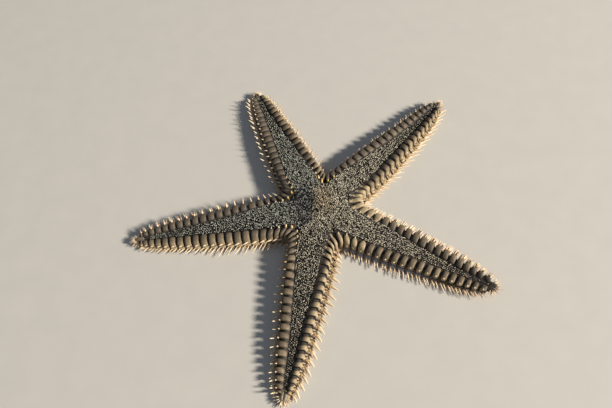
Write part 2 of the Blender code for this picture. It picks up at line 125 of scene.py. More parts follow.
class Arm:
    """One arm in its own frame: x runs out from the disc's centre, y to its left and z up."""

    def __init__(self, name, direction, length, bow, lift, left_row, right_row):
        self.name, self.direction, self.length = name, direction, length
        self.bow, self.lift = bow, lift
        self.rows = {1: left_row, -1: right_row}
        self.half = {}

    def share(self, x):
        return (x - DISC_APOTHEM) / (self.length - DISC_APOTHEM)

    def size(self, profile, x):
        return np.interp(self.share(x), *zip(*profile))

    def low(self, x):
        """How large small features are at x: they shrink where the arm is low."""
        return np.minimum(1.0, self.size(CROWN_HEIGHT, x) / HIGH_SIZE)

    def wall(self, side, x):
        """The line half way to the next arm."""
        return x * math.tan(self.half[side])

    def margin(self, side, x):
        return np.minimum(self.size(HALF_WIDTH, x), self.wall(side, x) - WALL_GAP)

    def free(self, side, x):
        return np.clip(self.wall(side, x) - self.size(HALF_WIDTH, x), 0, 1)

    def step(self, side, x):
        return STEPS.get((self.name, side), 0.0) * self.free(side, x) * self.low(x)

    def setback(self, side, x):
        """From the margin in to the outer faces of the back's plates."""
        return PLATE_SETBACK * self.low(x) + self.step(side, x)

    def field(self, side, x):
        wide = self.size(FIELD_HALF_WIDTH, x)
        pinched = np.maximum(wide - STEP_PINCH * self.step(side, x), LEAST_FIELD * wide)
        return np.minimum(pinched, self.margin(side, x) - PLATE_ROOM)

    def furrow(self, x):
        return FURROW_HALF_WIDTH * (1 - (1 - FURROW_END_SHARE) * x / self.length)

    def to_star(self, points):
        """Points of the straight arm, bowed, lifted at the tip and turned into place."""
        x, y, z = np.moveaxis(np.asarray(points, float), -1, 0)
        share = np.clip((x - BOW_START) / (self.length - BOW_START), 0, 1)
        beyond = np.maximum(0, (x / self.length - LIFT_START) / (1 - LIFT_START))
        y = y + self.bow * np.sin(math.pi * share)
        turn = math.radians(self.direction)
        return np.stack((DISC_CENTRE[0] + x * math.cos(turn) - y * math.sin(turn),
                         DISC_CENTRE[1] + x * math.sin(turn) + y * math.cos(turn),
                         z + self.lift * beyond ** 2), -1)


AVERAGE_ARM = 62.0
sample = Arm("sample", 0.0, AVERAGE_ARM, 0.0, 0.0, None, None)
print("half an arm's width, half way out:", round(sample.size(HALF_WIDTH, AVERAGE_ARM / 2), 2))

# %% The five arms
# direction, length, bow and lift, then the left and the right row of plates: how long and how
# wide the spines of its fringe are, how many degrees more than usual they lean to the tip, how
# they stand, and what grows on the plates of the back
ARMS = [Arm("far_left", 108.3, 60.6, 0.2, 0.6, (1.2, 1.25, -2, "raised", "peg"),
            (0.95, 1.3, 18, "single", "knob")),
        Arm("far_right", 40.7, 64.9, -0.45, 2.2, (0.7, 0.9, 5, "slim", "bead"),
            (1.1, 1.65, 22, "single", "knob")),
        Arm("right", -33.4, 61.4, 0.2, 2.0, (0.75, 0.85, -8, "bushy", "knob"),
            (0.95, 0.9, 4, "pairs", "stud")),
        Arm("near", -105.2, 63.0, 0.3, 0.0, (0.98, 2.1, 7, "stout", "knob"),
            (0.95, 1.45, 4, "raised", "dot")),
        Arm("left", -177.5, 62.7, 0.4, 0.4, (1.1, 0.9, 6, "slim", "flake"),
            (0.7, 0.8, 8, "bushy", "cone"))]
for index, arm in enumerate(ARMS):
    for side, other in ((1, ARMS[index - 1]), (-1, ARMS[(index + 1) % 5])):
        arm.half[side] = math.radians(side * (other.direction - arm.direction) % 360) / 2
    print(arm.name, "half angles", {s: round(math.degrees(a), 1) for s, a in arm.half.items()})

# %% [markdown]
# ## Finishes as arithmetic
# A finish is a small sum: a base colour, plus blotches, minus dirt in the grooves. Blender draws it
# as nodes. A small class wraps a socket so that Python's own signs add the Math nodes, and one
# method adds any other node, which keeps each finish down to a few readable lines.

# %% A socket that can be added and multiplied
class Number:
    """A number on a node's socket. Sums of it are Math nodes."""

    def __init__(self, finish, socket):
        self.finish, self.socket = finish, socket

    def _sum(self, operation, first, second):
        return self.finish.add("Math", {"operation": operation}, {0: first, 1: second})

    def __add__(self, other):
        return self._sum("ADD", self, other)

    def __sub__(self, other):
        return self._sum("SUBTRACT", self, other)

    def __rsub__(self, other):
        return self._sum("SUBTRACT", other, self)

    def __mul__(self, other):
        return self._sum("MULTIPLY", self, other)

    __radd__ = __add__
    __rmul__ = __mul__


def shade(red, green, blue):
    """A colour as a paint chart gives it, 0 to 255, turned into the light that it throws back."""
    return tuple(((c / 255 + 0.055) / 1.055) ** 2.4 if c > 10 else c / 255 / 12.92
                 for c in (red, green, blue)) + (1.0,)


print("a mid grey throws back", round(shade(128, 128, 128)[0], 2), "of the light")

# %% A material under construction
# a Mix node's colour sockets go by number, because their names occur more than once
MIX_FIRST, MIX_SECOND, MIX_RESULT = 6, 7, 2


class Finish:
    """A material, and the nodes that a finish asks for by name."""

    def __init__(self, name, roughness=0.6, **constants):
        self.material = bpy.data.materials.new(name)
        self.material.use_nodes = True
        self.tree = self.material.node_tree
        self.shader = self.tree.nodes["Principled BSDF"]
        self.shader.inputs["Roughness"].default_value = roughness
        for socket, value in constants.items():
            self.shader.inputs[socket.replace("_", " ")].default_value = value

    def add(self, kind, settings=None, sockets=None, out=0):
        """Any node: its type, its settings, its sockets' values or links, and which output."""
        node = self.tree.nodes.new("ShaderNode" + kind)
        for key, value in (settings or {}).items():
            setattr(node, key, value)
        for key, value in (sockets or {}).items():
            if isinstance(value, Number):
                self.tree.links.new(value.socket, node.inputs[key])
            else:
                node.inputs[key].default_value = value
        return Number(self, node.outputs[out])

    def place(self):
        return self.add("TexCoord", out="Object")

    def read(self, name):
        """A number that the mesh carries at each of its points."""
        return self.add("Attribute", {"attribute_name": name}, out="Fac")

    def noise(self, size, detail=2.0, roughness=0.55):
        """Soft blotches of about this size in millimetres, mostly between 0.3 and 0.7."""
        return self.add("TexNoise", None, {"Vector": self.place(), "Scale": 1 / (size * MM),
                                           "Detail": detail, "Roughness": roughness})

    def grains(self, size):
        """Round grains of about this size: the distance from the middle of the nearest one."""
        return self.add("TexVoronoi", None, {"Vector": self.place(), "Scale": 1 / (size * MM)})

    def step(self, value, low, high):
        """0 below low, 1 above high and smooth between."""
        return self.add("MapRange", {"interpolation_type": "SMOOTHSTEP"},
                        {"Value": value, "From Min": low, "From Max": high})

    def blend(self, amount, first, second, how="MIX"):
        """Colours laid over each other."""
        return self.add("Mix", {"data_type": "RGBA", "blend_type": how},
                        {0: amount, MIX_FIRST: first, MIX_SECOND: second}, out=MIX_RESULT)

    def relief(self, height, depth, strength=1.0):
        """Bumps of this depth in millimetres."""
        bumped = self.add("Bump", None, {"Height": height, "Distance": depth * MM,
                                         "Strength": strength})
        self.tree.links.new(bumped.socket, self.shader.inputs["Normal"])

    def paint(self, colour, roughness=None):
        self.tree.links.new(colour.socket, self.shader.inputs["Base Color"])
        if roughness:
            self.tree.links.new(roughness.socket, self.shader.inputs["Roughness"])
        return self.material


print("a finish can:", ", ".join(name for name in vars(Finish) if not name.startswith("_")))

# %% [markdown]
# ## Finishing the pieces
# The skin is near black between the plates and brown below. The plates are khaki, finely grained,
# and paler towards their outer ends, partly from wear and partly as a painted highlight; some rows
# and fans are painted pale as lit, and painted shade darkens the flanks, the inner ends and the
# rows that face away from the light. Each mesh carries a few numbers for its finish: `tone` differs
# from plate to plate, `crest` falls from a plate's top to its flanks, where shade is painted, `end`
# rises towards the outer end, one more number lays painted shade over whole rows and inner ends and
# darkens some tips, `pale` and `cool` colour whole rows, `cool` on one rim as painted sky light in
# shade, and `below` marks the underside.

# %% The finishes of the skin and the plates
def skin_finish():
    finish = Finish("star skin", 0.72)
    colour = finish.blend(finish.step(finish.noise(1.6, 4), 0.35, 0.7),
                          shade(19, 16, 14), shade(38, 32, 26))
    grain = finish.grains(0.34)
    colour = finish.blend(finish.step(grain, 0.1, 0.4), shade(50, 43, 34), colour)
    below = finish.read("below")
    colour = finish.blend(below, colour, shade(150, 126, 98))
    finish.relief(0.6 * (1 - grain) + finish.noise(0.5, 3) * 0.5, 0.12, 0.8)
    return finish.paint(colour)


def plate_finish():
    """Khaki and finely grained; painted shade on the flanks and inner ends, outer ends paler from
    wear and a painted highlight.
    """
    finish = Finish("plate khaki", 0.5)
    grain = finish.grains(0.17)
    tone = finish.read("tone")
    blotch = finish.noise(1.3, 3)
    colour = finish.blend(finish.step(blotch + tone * 0.25, 0.42, 0.78),
                          shade(106, 93, 74), shade(137, 122, 98))
    # painted shade: rows that face away from the light and the plates' inner ends turn dark grey,
    # and some arms' tips grow darker too
    colour = finish.blend(finish.read("dull"), colour, shade(50, 49, 48))
    # the outer ends paler: partly wear, partly a painted highlight, and painted light on some rows
    # and fans
    colour = finish.blend(finish.step(finish.read("end"), 0.45, 0.95) * 0.75, colour,
                          shade(178, 161, 128))
    colour = finish.blend(finish.step(grain, 0.25, 0.6) * 0.35, colour, shade(70, 56, 42))
    # painted shade on the flanks, along the long edges and, in one row, all round each plate
    flank = finish.step(finish.read("crest"), 0.1, 0.65)
    colour = finish.blend(flank, shade(32, 26, 21), colour)
    finish.relief(1 - grain, 0.05, 0.7)
    return finish.paint(colour, 0.42 + 0.3 * finish.step(grain, 0.2, 0.6))


def rim_finish():
    """The rim's plates, duller than those of the back and scaly."""
    finish = Finish("rim plate brown", 0.62)
    grain = finish.grains(0.3)
    colour = finish.blend(finish.noise(0.9, 3), shade(66, 57, 50), shade(104, 92, 78))
    colour = finish.blend(finish.read("pale"), colour, shade(182, 166, 134))
    # painted sky light: one rim row that lies in shade is tinted blue-grey
    colour = finish.blend(finish.read("cool"), colour, shade(188, 192, 206))
    # painted shade where the rim lies under the back's plates, and on its flanks
    colour = finish.blend(finish.step(finish.read("crest"), 0.15, 0.8), shade(34, 28, 23), colour)
    colour = finish.blend(finish.read("below"), colour, shade(166, 142, 112))
    colour = finish.blend(finish.step(grain, 0.3, 0.65) * 0.5, colour, shade(62, 47, 36))
    finish.relief(1 - grain, 0.09, 0.8)
    return finish.paint(colour)


SKIN, PLATE, RIM = skin_finish(), plate_finish(), rim_finish()
print("finishes:", ", ".join(finish.name for finish in (SKIN, PLATE, RIM)))

# %% [markdown]
# ## Finishing the spines and the paxillae
# Spines are ivory with brown roots, and each paxilla is a dark stalk with a grey-beige head.
# `reach` runs from the root (0) to the tip (1) of a spine or a stalk, `tone` differs from copy to
# copy, `warm` turns a copy towards orange, `dim` makes a spine brown, `cool` makes the heads of the
# paxillae bluish, and one more number lays a painted shadow, dark blue-grey, over some of them.

# %% The finishes of the spines and the paxillae
def spine_finish(name="spine ivory", root=(176, 155, 126), tip=(214, 196, 168),
                 warm_colour=(190, 160, 84)):
    """Brown at the root, ivory at the tip, with a fine grain along it."""
    finish = Finish(name, 0.42, Subsurface_Weight=0.12, Subsurface_Scale=0.4 * MM)
    reach = finish.read("reach")
    tone = finish.read("tone")
    colour = finish.blend(finish.step(reach + tone * 0.1, 0.0, 0.45), shade(*root), shade(*tip))
    colour = finish.blend(finish.read("warm"), colour, shade(*warm_colour))
    colour = finish.blend(finish.read("dim"), colour, shade(96, 66, 40))
    colour = finish.blend(0.35 * finish.step(finish.noise(0.35, 2), 0.4, 0.7), colour,
                          shade(158, 136, 108))
    finish.relief(finish.noise(0.2, 2), 0.04, 0.6)
    return finish.paint(colour)


def paxilla_finish():
    """Grey-beige heads on dark stalks, speckled from tuft to tuft."""
    finish = Finish("paxilla speckle", 0.6)
    reach = finish.read("reach")
    tone = finish.read("tone")
    light = finish.blend(finish.step(tone, -0.5, 0.65), shade(60, 55, 49), shade(255, 248, 226))
    light = finish.blend(finish.read("warm"), light, shade(204, 178, 136))
    light = finish.blend(finish.read("cool"), light, shade(222, 236, 246), "MULTIPLY")
    # painted shadow: a dark blue-grey patch on the disc, with a few pale specks left in it
    painted_shadow = finish.blend(finish.step(tone, 0.45, 1.5), shade(28, 32, 38), shade(210, 214, 214))
    light = finish.blend(finish.read("dusk"), light, painted_shadow)
    colour = finish.blend(finish.step(reach, 0.56, 0.86), shade(26, 24, 23), light)
    colour = finish.blend(0.25 * finish.step(finish.noise(2.6, 3), 0.42, 0.66), colour,
                          shade(74, 68, 60))
    finish.relief(finish.noise(0.12, 2), 0.02, 0.5)
    return finish.paint(colour)


SPINE = spine_finish()
LITTLE_SPINE = spine_finish("under spine tan", (150, 118, 84), (212, 186, 150), (196, 140, 84))
PAXILLA = paxilla_finish()
print("finishes:", ", ".join(finish.name for finish in (SPINE, LITTLE_SPINE, PAXILLA)))

# %% The finishes of the smaller pieces
def end_plate_finish():
    """Near black on some arms and grey-beige on others, with paler grains."""
    finish = Finish("end plate dark", 0.45)
    grain = finish.grains(0.26)
    colour = finish.blend(finish.noise(0.7, 3), shade(22, 19, 19), shade(52, 45, 40))
    colour = finish.blend(finish.read("pale"), colour, shade(140, 128, 108))
    colour = finish.blend(finish.step(grain, 0.1, 0.4), shade(96, 86, 72), colour)
    finish.relief(1 - grain, 0.08, 0.8)
    return finish.paint(colour)


def sieve_finish():
    finish = Finish("sieve plate stone", 0.65)
    # painted shade in the grooves between the ridges
    deep = finish.step(finish.read("crest"), 0.2, 0.8)
    colour = finish.blend(deep, shade(30, 26, 22), shade(98, 87, 70))
    colour = finish.blend(0.4 * finish.noise(0.3, 2), colour, shade(62, 54, 44))
    finish.relief(finish.noise(0.15, 2), 0.03, 0.6)
    return finish.paint(colour)


def foot_finish():
    """Soft feet, pale amber and a little see-through."""
    finish = Finish("foot amber", 0.35, Subsurface_Weight=0.35, Subsurface_Scale=0.8 * MM)
    colour = finish.blend(finish.read("reach"), shade(196, 152, 98), shade(226, 196, 150))
    colour = finish.blend(0.4 * finish.noise(0.4, 2), colour, shade(168, 120, 76))
    finish.relief(finish.noise(0.25, 2), 0.05, 0.5)
    return finish.paint(colour)


END_PLATE, SIEVE, FOOT = end_plate_finish(), sieve_finish(), foot_finish()
print("finishes:", ", ".join(finish.name for finish in (END_PLATE, SIEVE, FOOT)))

# %% [markdown]
# ## Joining many copies
# The star carries thousands of small things, and each kind is one small shape. Keeping them all as
# objects would be slow, so a shape is modelled once with Blender's mesh operators, read into
# arrays, and laid out by numpy as many times as it is needed, in one joined mesh.

# %% A shape to copy and a batch of copies
class Shape:
    """A small mesh read into arrays: its points, and its faces as lists of corners."""

    def __init__(self, bm):
        bmesh.ops.recalc_face_normals(bm, faces=bm.faces)
        bm.verts.index_update()
        self.points = np.array([v.co for v in bm.verts])
        self.corners = np.array([v.index for f in bm.faces for v in f.verts])
        self.sides = np.array([len(f.verts) for f in bm.faces])
        bm.free()


class Batch:
    """Copies of shapes, gathered into one mesh with the numbers that its finish reads."""

    def __init__(self):
        self.count, self.points, self.corners, self.sides, self.numbers = 0, [], [], [], {}

    def add(self, shape, places, **numbers):
        """places holds one row of points for each copy."""
        copies, size = places.shape[:2]
        self.points.append(places.reshape(-1, 3))
        first = self.count + size * np.arange(copies)
        self.corners.append((shape.corners[None, :] + first[:, None]).ravel())
        self.sides.append(np.tile(shape.sides, copies))
        for name, values in numbers.items():
            spread = np.broadcast_to(np.asarray(values, float), (copies, size))
            self.numbers.setdefault(name, []).append(spread.ravel())
        self.count += copies * size

    def mesh(self, name):
        points, corners = np.concatenate(self.points), np.concatenate(self.corners)
        sides = np.concatenate(self.sides)
        made = bpy.data.meshes.new(name)
        made.vertices.add(len(points))
        made.vertices.foreach_set("co", points.ravel())
        made.loops.add(len(corners))
        made.loops.foreach_set("vertex_index", corners)
        made.polygons.add(len(sides))
        made.polygons.foreach_set("loop_start", np.concatenate(([0], np.cumsum(sides)[:-1])))
        made.polygons.foreach_set("use_smooth", np.ones(len(sides), bool))
        made.update(calc_edges=True)
        values = {key: np.concatenate(rows) for key, rows in self.numbers.items()}
        if "u" in values:
            patches = made.uv_layers.new(name="OFBake")
            both = np.stack((values.pop("u"), values.pop("v")), -1)[corners]
            patches.data.foreach_set("uv", both.ravel())
        for key, row in values.items():
            made.attributes.new(key, "FLOAT", "POINT").data.foreach_set("value", row)
        return made


print("a batch gathers:", ", ".join(vars(Batch())))

# %% Putting a finished mesh on the star
SEEDS = {"back plates": 200, "rim plates": 300, "fringe": 400, "cones": 500, "paxillae": 600,
         "ends": 700, "underside": 800, "feet": 900, "jaws": 1000}


def seeded(kind, number=0):
    """A generator with the same draws in each run, another for each kind of piece and arm."""
    return np.random.default_rng(SEEDS[kind] + number)


def show(mesh, finish, slot, *stands_for):
    """Puts a finished mesh, made in millimetres, on the star in metres, under the mesh's name."""
    mesh.transform(Matrix.Scale(MM, 4))
    mesh.materials.append(finish)
    piece = bpy.data.objects.new(mesh.name, mesh)
    bpy.context.scene.collection.objects.link(piece)
    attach(piece, "root")
    if stands_for:
        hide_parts(*stands_for)
    triangles = sum(len(p.vertices) - 2 for p in mesh.polygons)
    print(f"{piece.name}: {triangles} triangles")


def facing_out(mesh):
    """Turns every face of a joined mesh outwards."""
    bm = bmesh.new()
    bm.from_mesh(mesh)
    bm.normal_update()
    bmesh.ops.recalc_face_normals(bm, faces=bm.faces)
    bm.to_mesh(mesh)
    bm.free()
    return mesh


def smooth_mesh(bm, name):
    bm.normal_update()
    mesh = bpy.data.meshes.new(name)
    bm.to_mesh(mesh)
    for face in mesh.polygons:
        face.use_smooth = True
    return mesh


# %% [markdown]
# ## The skin
# Under its plates the star is one soft body. A row of outlines is set across each arm, from the
# groove for the feet below to the field on the back, and neighbouring outlines are bridged. A
# voxel remesh then melts the five arms into one body without seams, and smoothing rounds it. The
# skin lies about half a millimetre inside the part, because the tufts and plates stand on it.

# %% The skin's outline across an arm
SKIN_DEPTH = 0.62                  # how deep the skin lies below the tips of the tufts
GROOVE_DEPTH = 0.68                # and below the plates
SKIN_FLOOR = 0.36                  # the height of its underside
SOLE = 0.8                         # the underside's edge, in from the margin
OVERLAP = 0.25                     # neighbouring arms' bodies pass into each other
# rows whose plates rise towards the rim and reach down to it, and by how much they rise
CLOSED_ROWS = (("far_right", -1), ("near", 1), ("far_left", -1), ("right", 1))
INNER_SLOPE = 0.3


def disc_height(radius):
    return DISC_TOP - DISC_FALL * (radius / (DISC_APOTHEM / math.cos(math.radians(36)))) ** 2


def floor_height(arm, x, y):
    """The underside: the mouth's recess, the groove for the feet, and flat beside them."""
    if math.hypot(x, y) < MOUTH_RADIUS:
        return MOUTH_DEPTH
    return FURROW_DEPTH if y < arm.furrow(x) else SKIN_FLOOR


def skin_half_outline(arm, side, x):
    """One side of the skin at x, from the middle below, out, and up to the middle of the back."""
    margin = arm.margin(side, x)
    if x < DISC_APOTHEM:
        reach = margin + WALL_GAP + OVERLAP
        below = [(reach * k / 5, floor_height(arm, x, reach * k / 5)) for k in range(1, 6)]
        above = [(reach * k / 5, disc_height(math.hypot(x, reach * k / 5)) - SKIN_DEPTH)
                 for k in range(5, 0, -1)]
        return below + above
    low, free, inner = arm.low(x), arm.free(side, x), arm.field(side, x)
    crown, field = arm.size(CROWN_HEIGHT, x), arm.size(FIELD_HEIGHT, x)
    furrow, bar = arm.furrow(x), margin - inner - arm.setback(side, x) * free
    slope = INNER_SLOPE * low * ((arm.name, side) in CLOSED_ROWS)
    deep = FURROW_DEPTH * furrow / FURROW_HALF_WIDTH
    edge = margin + (WALL_GAP + OVERLAP) * (1 - free)
    return [(0.5 * furrow, deep), (1.1 * furrow, SKIN_FLOOR), (0.6 * margin, SKIN_FLOOR),
            (edge - SOLE * free * low, SKIN_FLOOR), (edge - 0.6 * free, 0.75 * low),
            (edge - 0.65 * free, 1.25 * low), (edge - 1.6 * free * low, 1.45 * low),
            (inner + 0.78 * bar - 0.1 + (0.22 * bar + 0.3) * (1 - free),
             0.88 * crown - GROOVE_DEPTH * low),
            (inner + 0.36 * bar, crown - GROOVE_DEPTH * low - slope),
            (inner, field - SKIN_DEPTH * low)]


def skin_outline(arm, x):
    right, left = (skin_half_outline(arm, side, x) for side in (-1, 1))
    if x < DISC_APOTHEM:
        bottom, top = floor_height(arm, x, 0), disc_height(x) - SKIN_DEPTH
    else:
        bottom = FURROW_DEPTH * arm.furrow(x) / FURROW_HALF_WIDTH
        top = arm.size(FIELD_HEIGHT, x) + FIELD_DOME - SKIN_DEPTH * arm.low(x)
    ring = [(x, 0, bottom)] + [(x, -y, z) for y, z in right] + [(x, 0, top)]
    return arm.to_star(ring + [(x, y, z) for y, z in reversed(left)])


print("points in the skin's outline:", len(skin_outline(ARMS[0], 20.0)))

# %% Bridging outlines, and melting what overlaps
VOXEL = 0.36


def loft(bm, rings):
    """Each outline starts as a circle, and neighbours are bridged."""
    loops = []
    for ring in rings:
        points = bmesh.ops.create_circle(bm, segments=len(ring), radius=1)["verts"]
        for vert, place in zip(points, ring):
            vert.co = place
        loops.append(list(dict.fromkeys(e for v in points for e in v.link_edges)))
    for near, far in zip(loops, loops[1:]):
        bmesh.ops.bridge_loops(bm, edges=near + far)
    for end in (loops[0], loops[-1]):
        bmesh.ops.contextual_create(bm, geom=end)


def remeshed(bm, voxel):
    """The mesh's outer surface rebuilt from small cubes, which joins what overlaps."""
    bmesh.ops.recalc_face_normals(bm, faces=bm.faces)
    mesh = bpy.data.meshes.new("rough body")
    bm.to_mesh(mesh)
    bm.free()
    rough = bpy.data.objects.new("rough body", mesh)
    bpy.context.scene.collection.objects.link(rough)
    melt = rough.modifiers.new("melt", "REMESH")
    melt.mode, melt.voxel_size = "VOXEL", voxel
    graph = bpy.context.evaluated_depsgraph_get()
    fine = bmesh.new()
    fine.from_object(rough, graph)
    bpy.data.objects.remove(rough)
    return fine


print("the cubes of the remesh are", VOXEL, "mm wide")

# %% The arms' bodies as one
body = bmesh.new()
for arm in ARMS:
    end = arm.length - 0.75 * TIP_LENGTH
    stations = [0.4, 1.5, 2.6, 3.6, 4.6, 5.4, 5.75, 5.85, 6.5, 7.2, 7.9, 8.15, 9, 10, 11, 12, 13]
    stations += list(np.arange(15, end - 2.5, 2.5)) + [end]
    part = bmesh.new()
    loft(part, [skin_outline(arm, x) for x in stations])
    bmesh.ops.recalc_face_normals(part, faces=part.faces)
    mesh = bpy.data.meshes.new("arm body")
    part.to_mesh(mesh)
    part.free()
    body.from_mesh(mesh)
skin = remeshed(body, VOXEL)
for _ in range(3):
    bmesh.ops.smooth_vert(skin, verts=skin.verts, factor=0.5, use_axis_x=True, use_axis_y=True,
                          use_axis_z=True)
print("points in the melted body:", len(skin.verts))

# %% Dips in the back, and the angles between the arms
RELIEF = (                         # distance from the centre, direction, depth, width of a dip
    (8.8, -68.9, 1.3, 0.85), (9.7, 14.9, 1.2, 0.85), (11.6, 76.6, 1.0, 0.8),
    (9.9, 139.0, 1.1, 0.9), (9.0, -141.0, 1.2, 0.85), (2.5, 86.0, -0.45, 1.5),
    (5.4, 134.0, 0.75, 3.4), (4.9, -166.0, 0.75, 3.4), (8.1, -136.0, 0.4, 3.0),
    (9.4, 159.0, 0.4, 2.6))
BACK_ABOVE = 3.5                   # only what is higher than this dips
AXIL_REACH = 15.0                  # from the disc's centre to the angle between two arms
AXIL_FLOOR = 1.4                   # the skin is kept this low there, and rises around it
AXIL_PIT, AXIL_SLOPE, AXIL_RISE = 0.6, 1.4, 5   # the low place's radius, its slope and the rise
BROWN_BELOW, BROWN_FADE = 1.9, 0.4              # the skin is brown below this height

for distance, direction, depth, width in RELIEF:
    x, y = from_centre(distance, math.radians(direction))
    for vert in skin.verts:
        if vert.co.z > BACK_ABOVE:
            away = ((vert.co.x - x) ** 2 + (vert.co.y - y) ** 2) / width ** 2
            vert.co.z -= depth * math.exp(-away)
for arm in ARMS:
    x, y = from_centre(AXIL_REACH, math.radians(arm.direction) + arm.half[1])
    for vert in skin.verts:
        far = math.hypot(vert.co.x - x, vert.co.y - y)
        away = np.clip((far - AXIL_PIT) / AXIL_SLOPE, 0, 1)
        if away < 1:
            vert.co.z = min(vert.co.z, AXIL_FLOOR + AXIL_RISE * away * away * (3 - 2 * away))
skin.normal_update()
SKIN_TREE = BVHTree.FromBMesh(skin)
skin_mesh = smooth_mesh(skin, "star_skin")
skin.free()
heights = np.empty(len(skin_mesh.vertices) * 3)
skin_mesh.vertices.foreach_get("co", heights)
below = np.clip((BROWN_BELOW - heights[2::3]) / BROWN_FADE, 0, 1)
skin_mesh.attributes.new("below", "FLOAT", "POINT").data.foreach_set("value", below)
show(skin_mesh, SKIN, "skin", "disc", *("arm_" + arm.name for arm in ARMS))

# %% [markdown]
# ## The plates of the back
# Each plate is a bent bar: it starts at the field, runs over the crown and down the flank to the
# rim. One bar is cut from a cube, with its upper edges bevelled, and then laid along that bent path
# between two grooves, so the plates narrow towards the tip and fan out in the angle between two
# arms as the grooves do.

# %% One bar
PLATE_THICKNESS = 1.0
BAR_LENGTH = 5.4                   # about the length of a plate, while the bar is bevelled


def bar(long_cuts=6, bevel=0.3):
    """A bar with rounded upper edges: x across it from -1 to 1, y along it from 0 to 1, and z
    from -1 at its foot to 1 at its top."""
    bm = bmesh.new()
    bmesh.ops.create_cube(bm, size=1)
    bmesh.ops.scale(bm, vec=(2.0, BAR_LENGTH, PLATE_THICKNESS), verts=bm.verts)
    for axis, cuts in ((1, long_cuts), (0, 2)):
        along = [e for e in bm.edges if abs((e.verts[0].co - e.verts[1].co)[axis]) > 1.5]
        bmesh.ops.subdivide_edges(bm, edges=along, cuts=cuts, use_grid_fill=True)
    top = PLATE_THICKNESS / 2 - 0.01
    rim = [e for e in bm.edges if e.is_manifold and e.calc_face_angle(0) > 1
           and max(v.co.z for v in e.verts) > top]
    bmesh.ops.bevel(bm, geom=rim, offset=bevel, segments=2, affect="EDGES", profile=0.5,
                    material=-1)
    foot = [f for f in bm.faces if all(v.co.z < -top for v in f.verts)]
    bmesh.ops.dissolve_faces(bm, faces=foot)
    bmesh.ops.translate(bm, vec=(0, BAR_LENGTH / 2, 0), verts=bm.verts)
    bmesh.ops.scale(bm, vec=(1.0, 1 / BAR_LENGTH, 2 / PLATE_THICKNESS), verts=bm.verts)
    return Shape(bm)


BAR = bar()
print("triangles in a bar:", int((BAR.sides - 2).sum()))

# %% The paths that bars follow
LOOK_AHEAD = 0.15                  # how far apart a path's direction is measured


def rounded(path):
    """A bent path with its corners cut off, twice."""
    for _ in range(2):
        before, after = path[:-1], path[1:]
        inside = np.stack((0.75 * before + 0.25 * after, 0.25 * before + 0.75 * after), 1)
        path = np.concatenate((path[:1], inside.reshape(-1, 2), path[-1:]))
    return path


def follow(path, share):
    """Where a path is at a share of its length, and the direction square to it on its left."""
    steps = np.hypot(*np.diff(path, axis=0).T)
    gone = np.concatenate(([0], np.cumsum(steps)))
    at = share * gone[-1]
    place, ahead, behind = (
        np.stack([np.interp(at + shift, gone, path[:, k]) for k in (0, 1)], -1)
        for shift in (0, LOOK_AHEAD, -LOOK_AHEAD))
    way = (ahead - behind) / np.linalg.norm(ahead - behind, axis=-1, keepdims=True)
    return place, np.stack((-way[:, 1], way[:, 0]), -1)


print("points of a rounded corner:", len(rounded(np.array([(0, 0), (1, 0), (1, 1)]))))

# %% The grooves between the plates
FIRST_EDGE = (8.6, 12.0)           # where the first groove begins and ends along the arm
FAN = ((10.2, 12.9), (12.5, 14.35), (15.0, 16.2), (17.55, 18.3), (20.2, 20.7))
WIDE_FAN = ((11.0, 13.1), (14.0, 15.2), (17.0, 17.5), (19.9, 20.2))   # with one plate less
WIDE_FANS = (("right", 1), ("right", -1), ("far_right", 1))
PLATE_SPACING = ((0.2, 2.75), (0.47, 2.75), (0.62, 2.6), (0.76, 2.45), (0.85, 2.2), (0.92, 1.9),
                 (1.0, 1.4))
WIDEST_LAST = 1.4                  # the last plate is at most this many spacings wide
TIP_GAP, FIELD_GAP, AXIL_GAP = 0.35, 0.05, 0.2   # what plates leave free before each of these


def grooves_of(arm, side):
    """Where each groove between two plates begins at the field and ends at the rim, along x."""
    ends = [FIRST_EDGE, *(WIDE_FAN if (arm.name, side) in WIDE_FANS else FAN)]
    last = arm.length - TIP_LENGTH - TIP_GAP
    x = ends[-1][1]
    while True:
        spacing = arm.size(PLATE_SPACING, x) * arm.length / AVERAGE_ARM
        if x + WIDEST_LAST * spacing > last:
            break
        x += spacing
        ends.append((x, x))
    return ends + [(last, last)]


def groove_lines(arm, side):
    """The same grooves as pairs of points, the first along the line to the next arm."""
    lines = []
    for k, (inner, outer) in enumerate(grooves_of(arm, side)):
        near = (inner, arm.field(side, inner) + FIELD_GAP)
        far = (outer, arm.margin(side, outer) - arm.setback(side, outer))
        if k == 0:
            near, far = ((x, arm.wall(side, x) - AXIL_GAP) for x in (inner, outer))
        lines.append((near, far))
    return np.array(lines)


print("plates in a row:", {arm.name: len(groove_lines(arm, 1)) - 1 for arm in ARMS})

# %% One plate of the back
# the share of a groove-to-groove space that a plate fills
FILLS = {("right", -1): 0.68, ("right", 1): 0.79, ("far_left", -1): 0.7, ("near", 1): 0.7,
         ("near", -1): 0.74, ("far_right", -1): 0.73, ("left", 1): 0.78}
USUAL_FILL = 0.8
FAN_PLATES = 4                     # those in the angle between two arms, which fan out
# the rows where these are painted pale, as painted light, with broad inner ends
LIT_FANS = (("far_right", -1), ("right", 1), ("right", -1), ("near", 1))
POINT, PALE_POINT = 0.72, 0.5      # how much of its width such a plate loses at its inner end
POINT_SHARE = 0.32                 # over this share of its length
FAN_FILL = 1.1                     # these plates stand closer than the others
PLATE_BULGE, UNEVENNESS = 0.24, 0.08


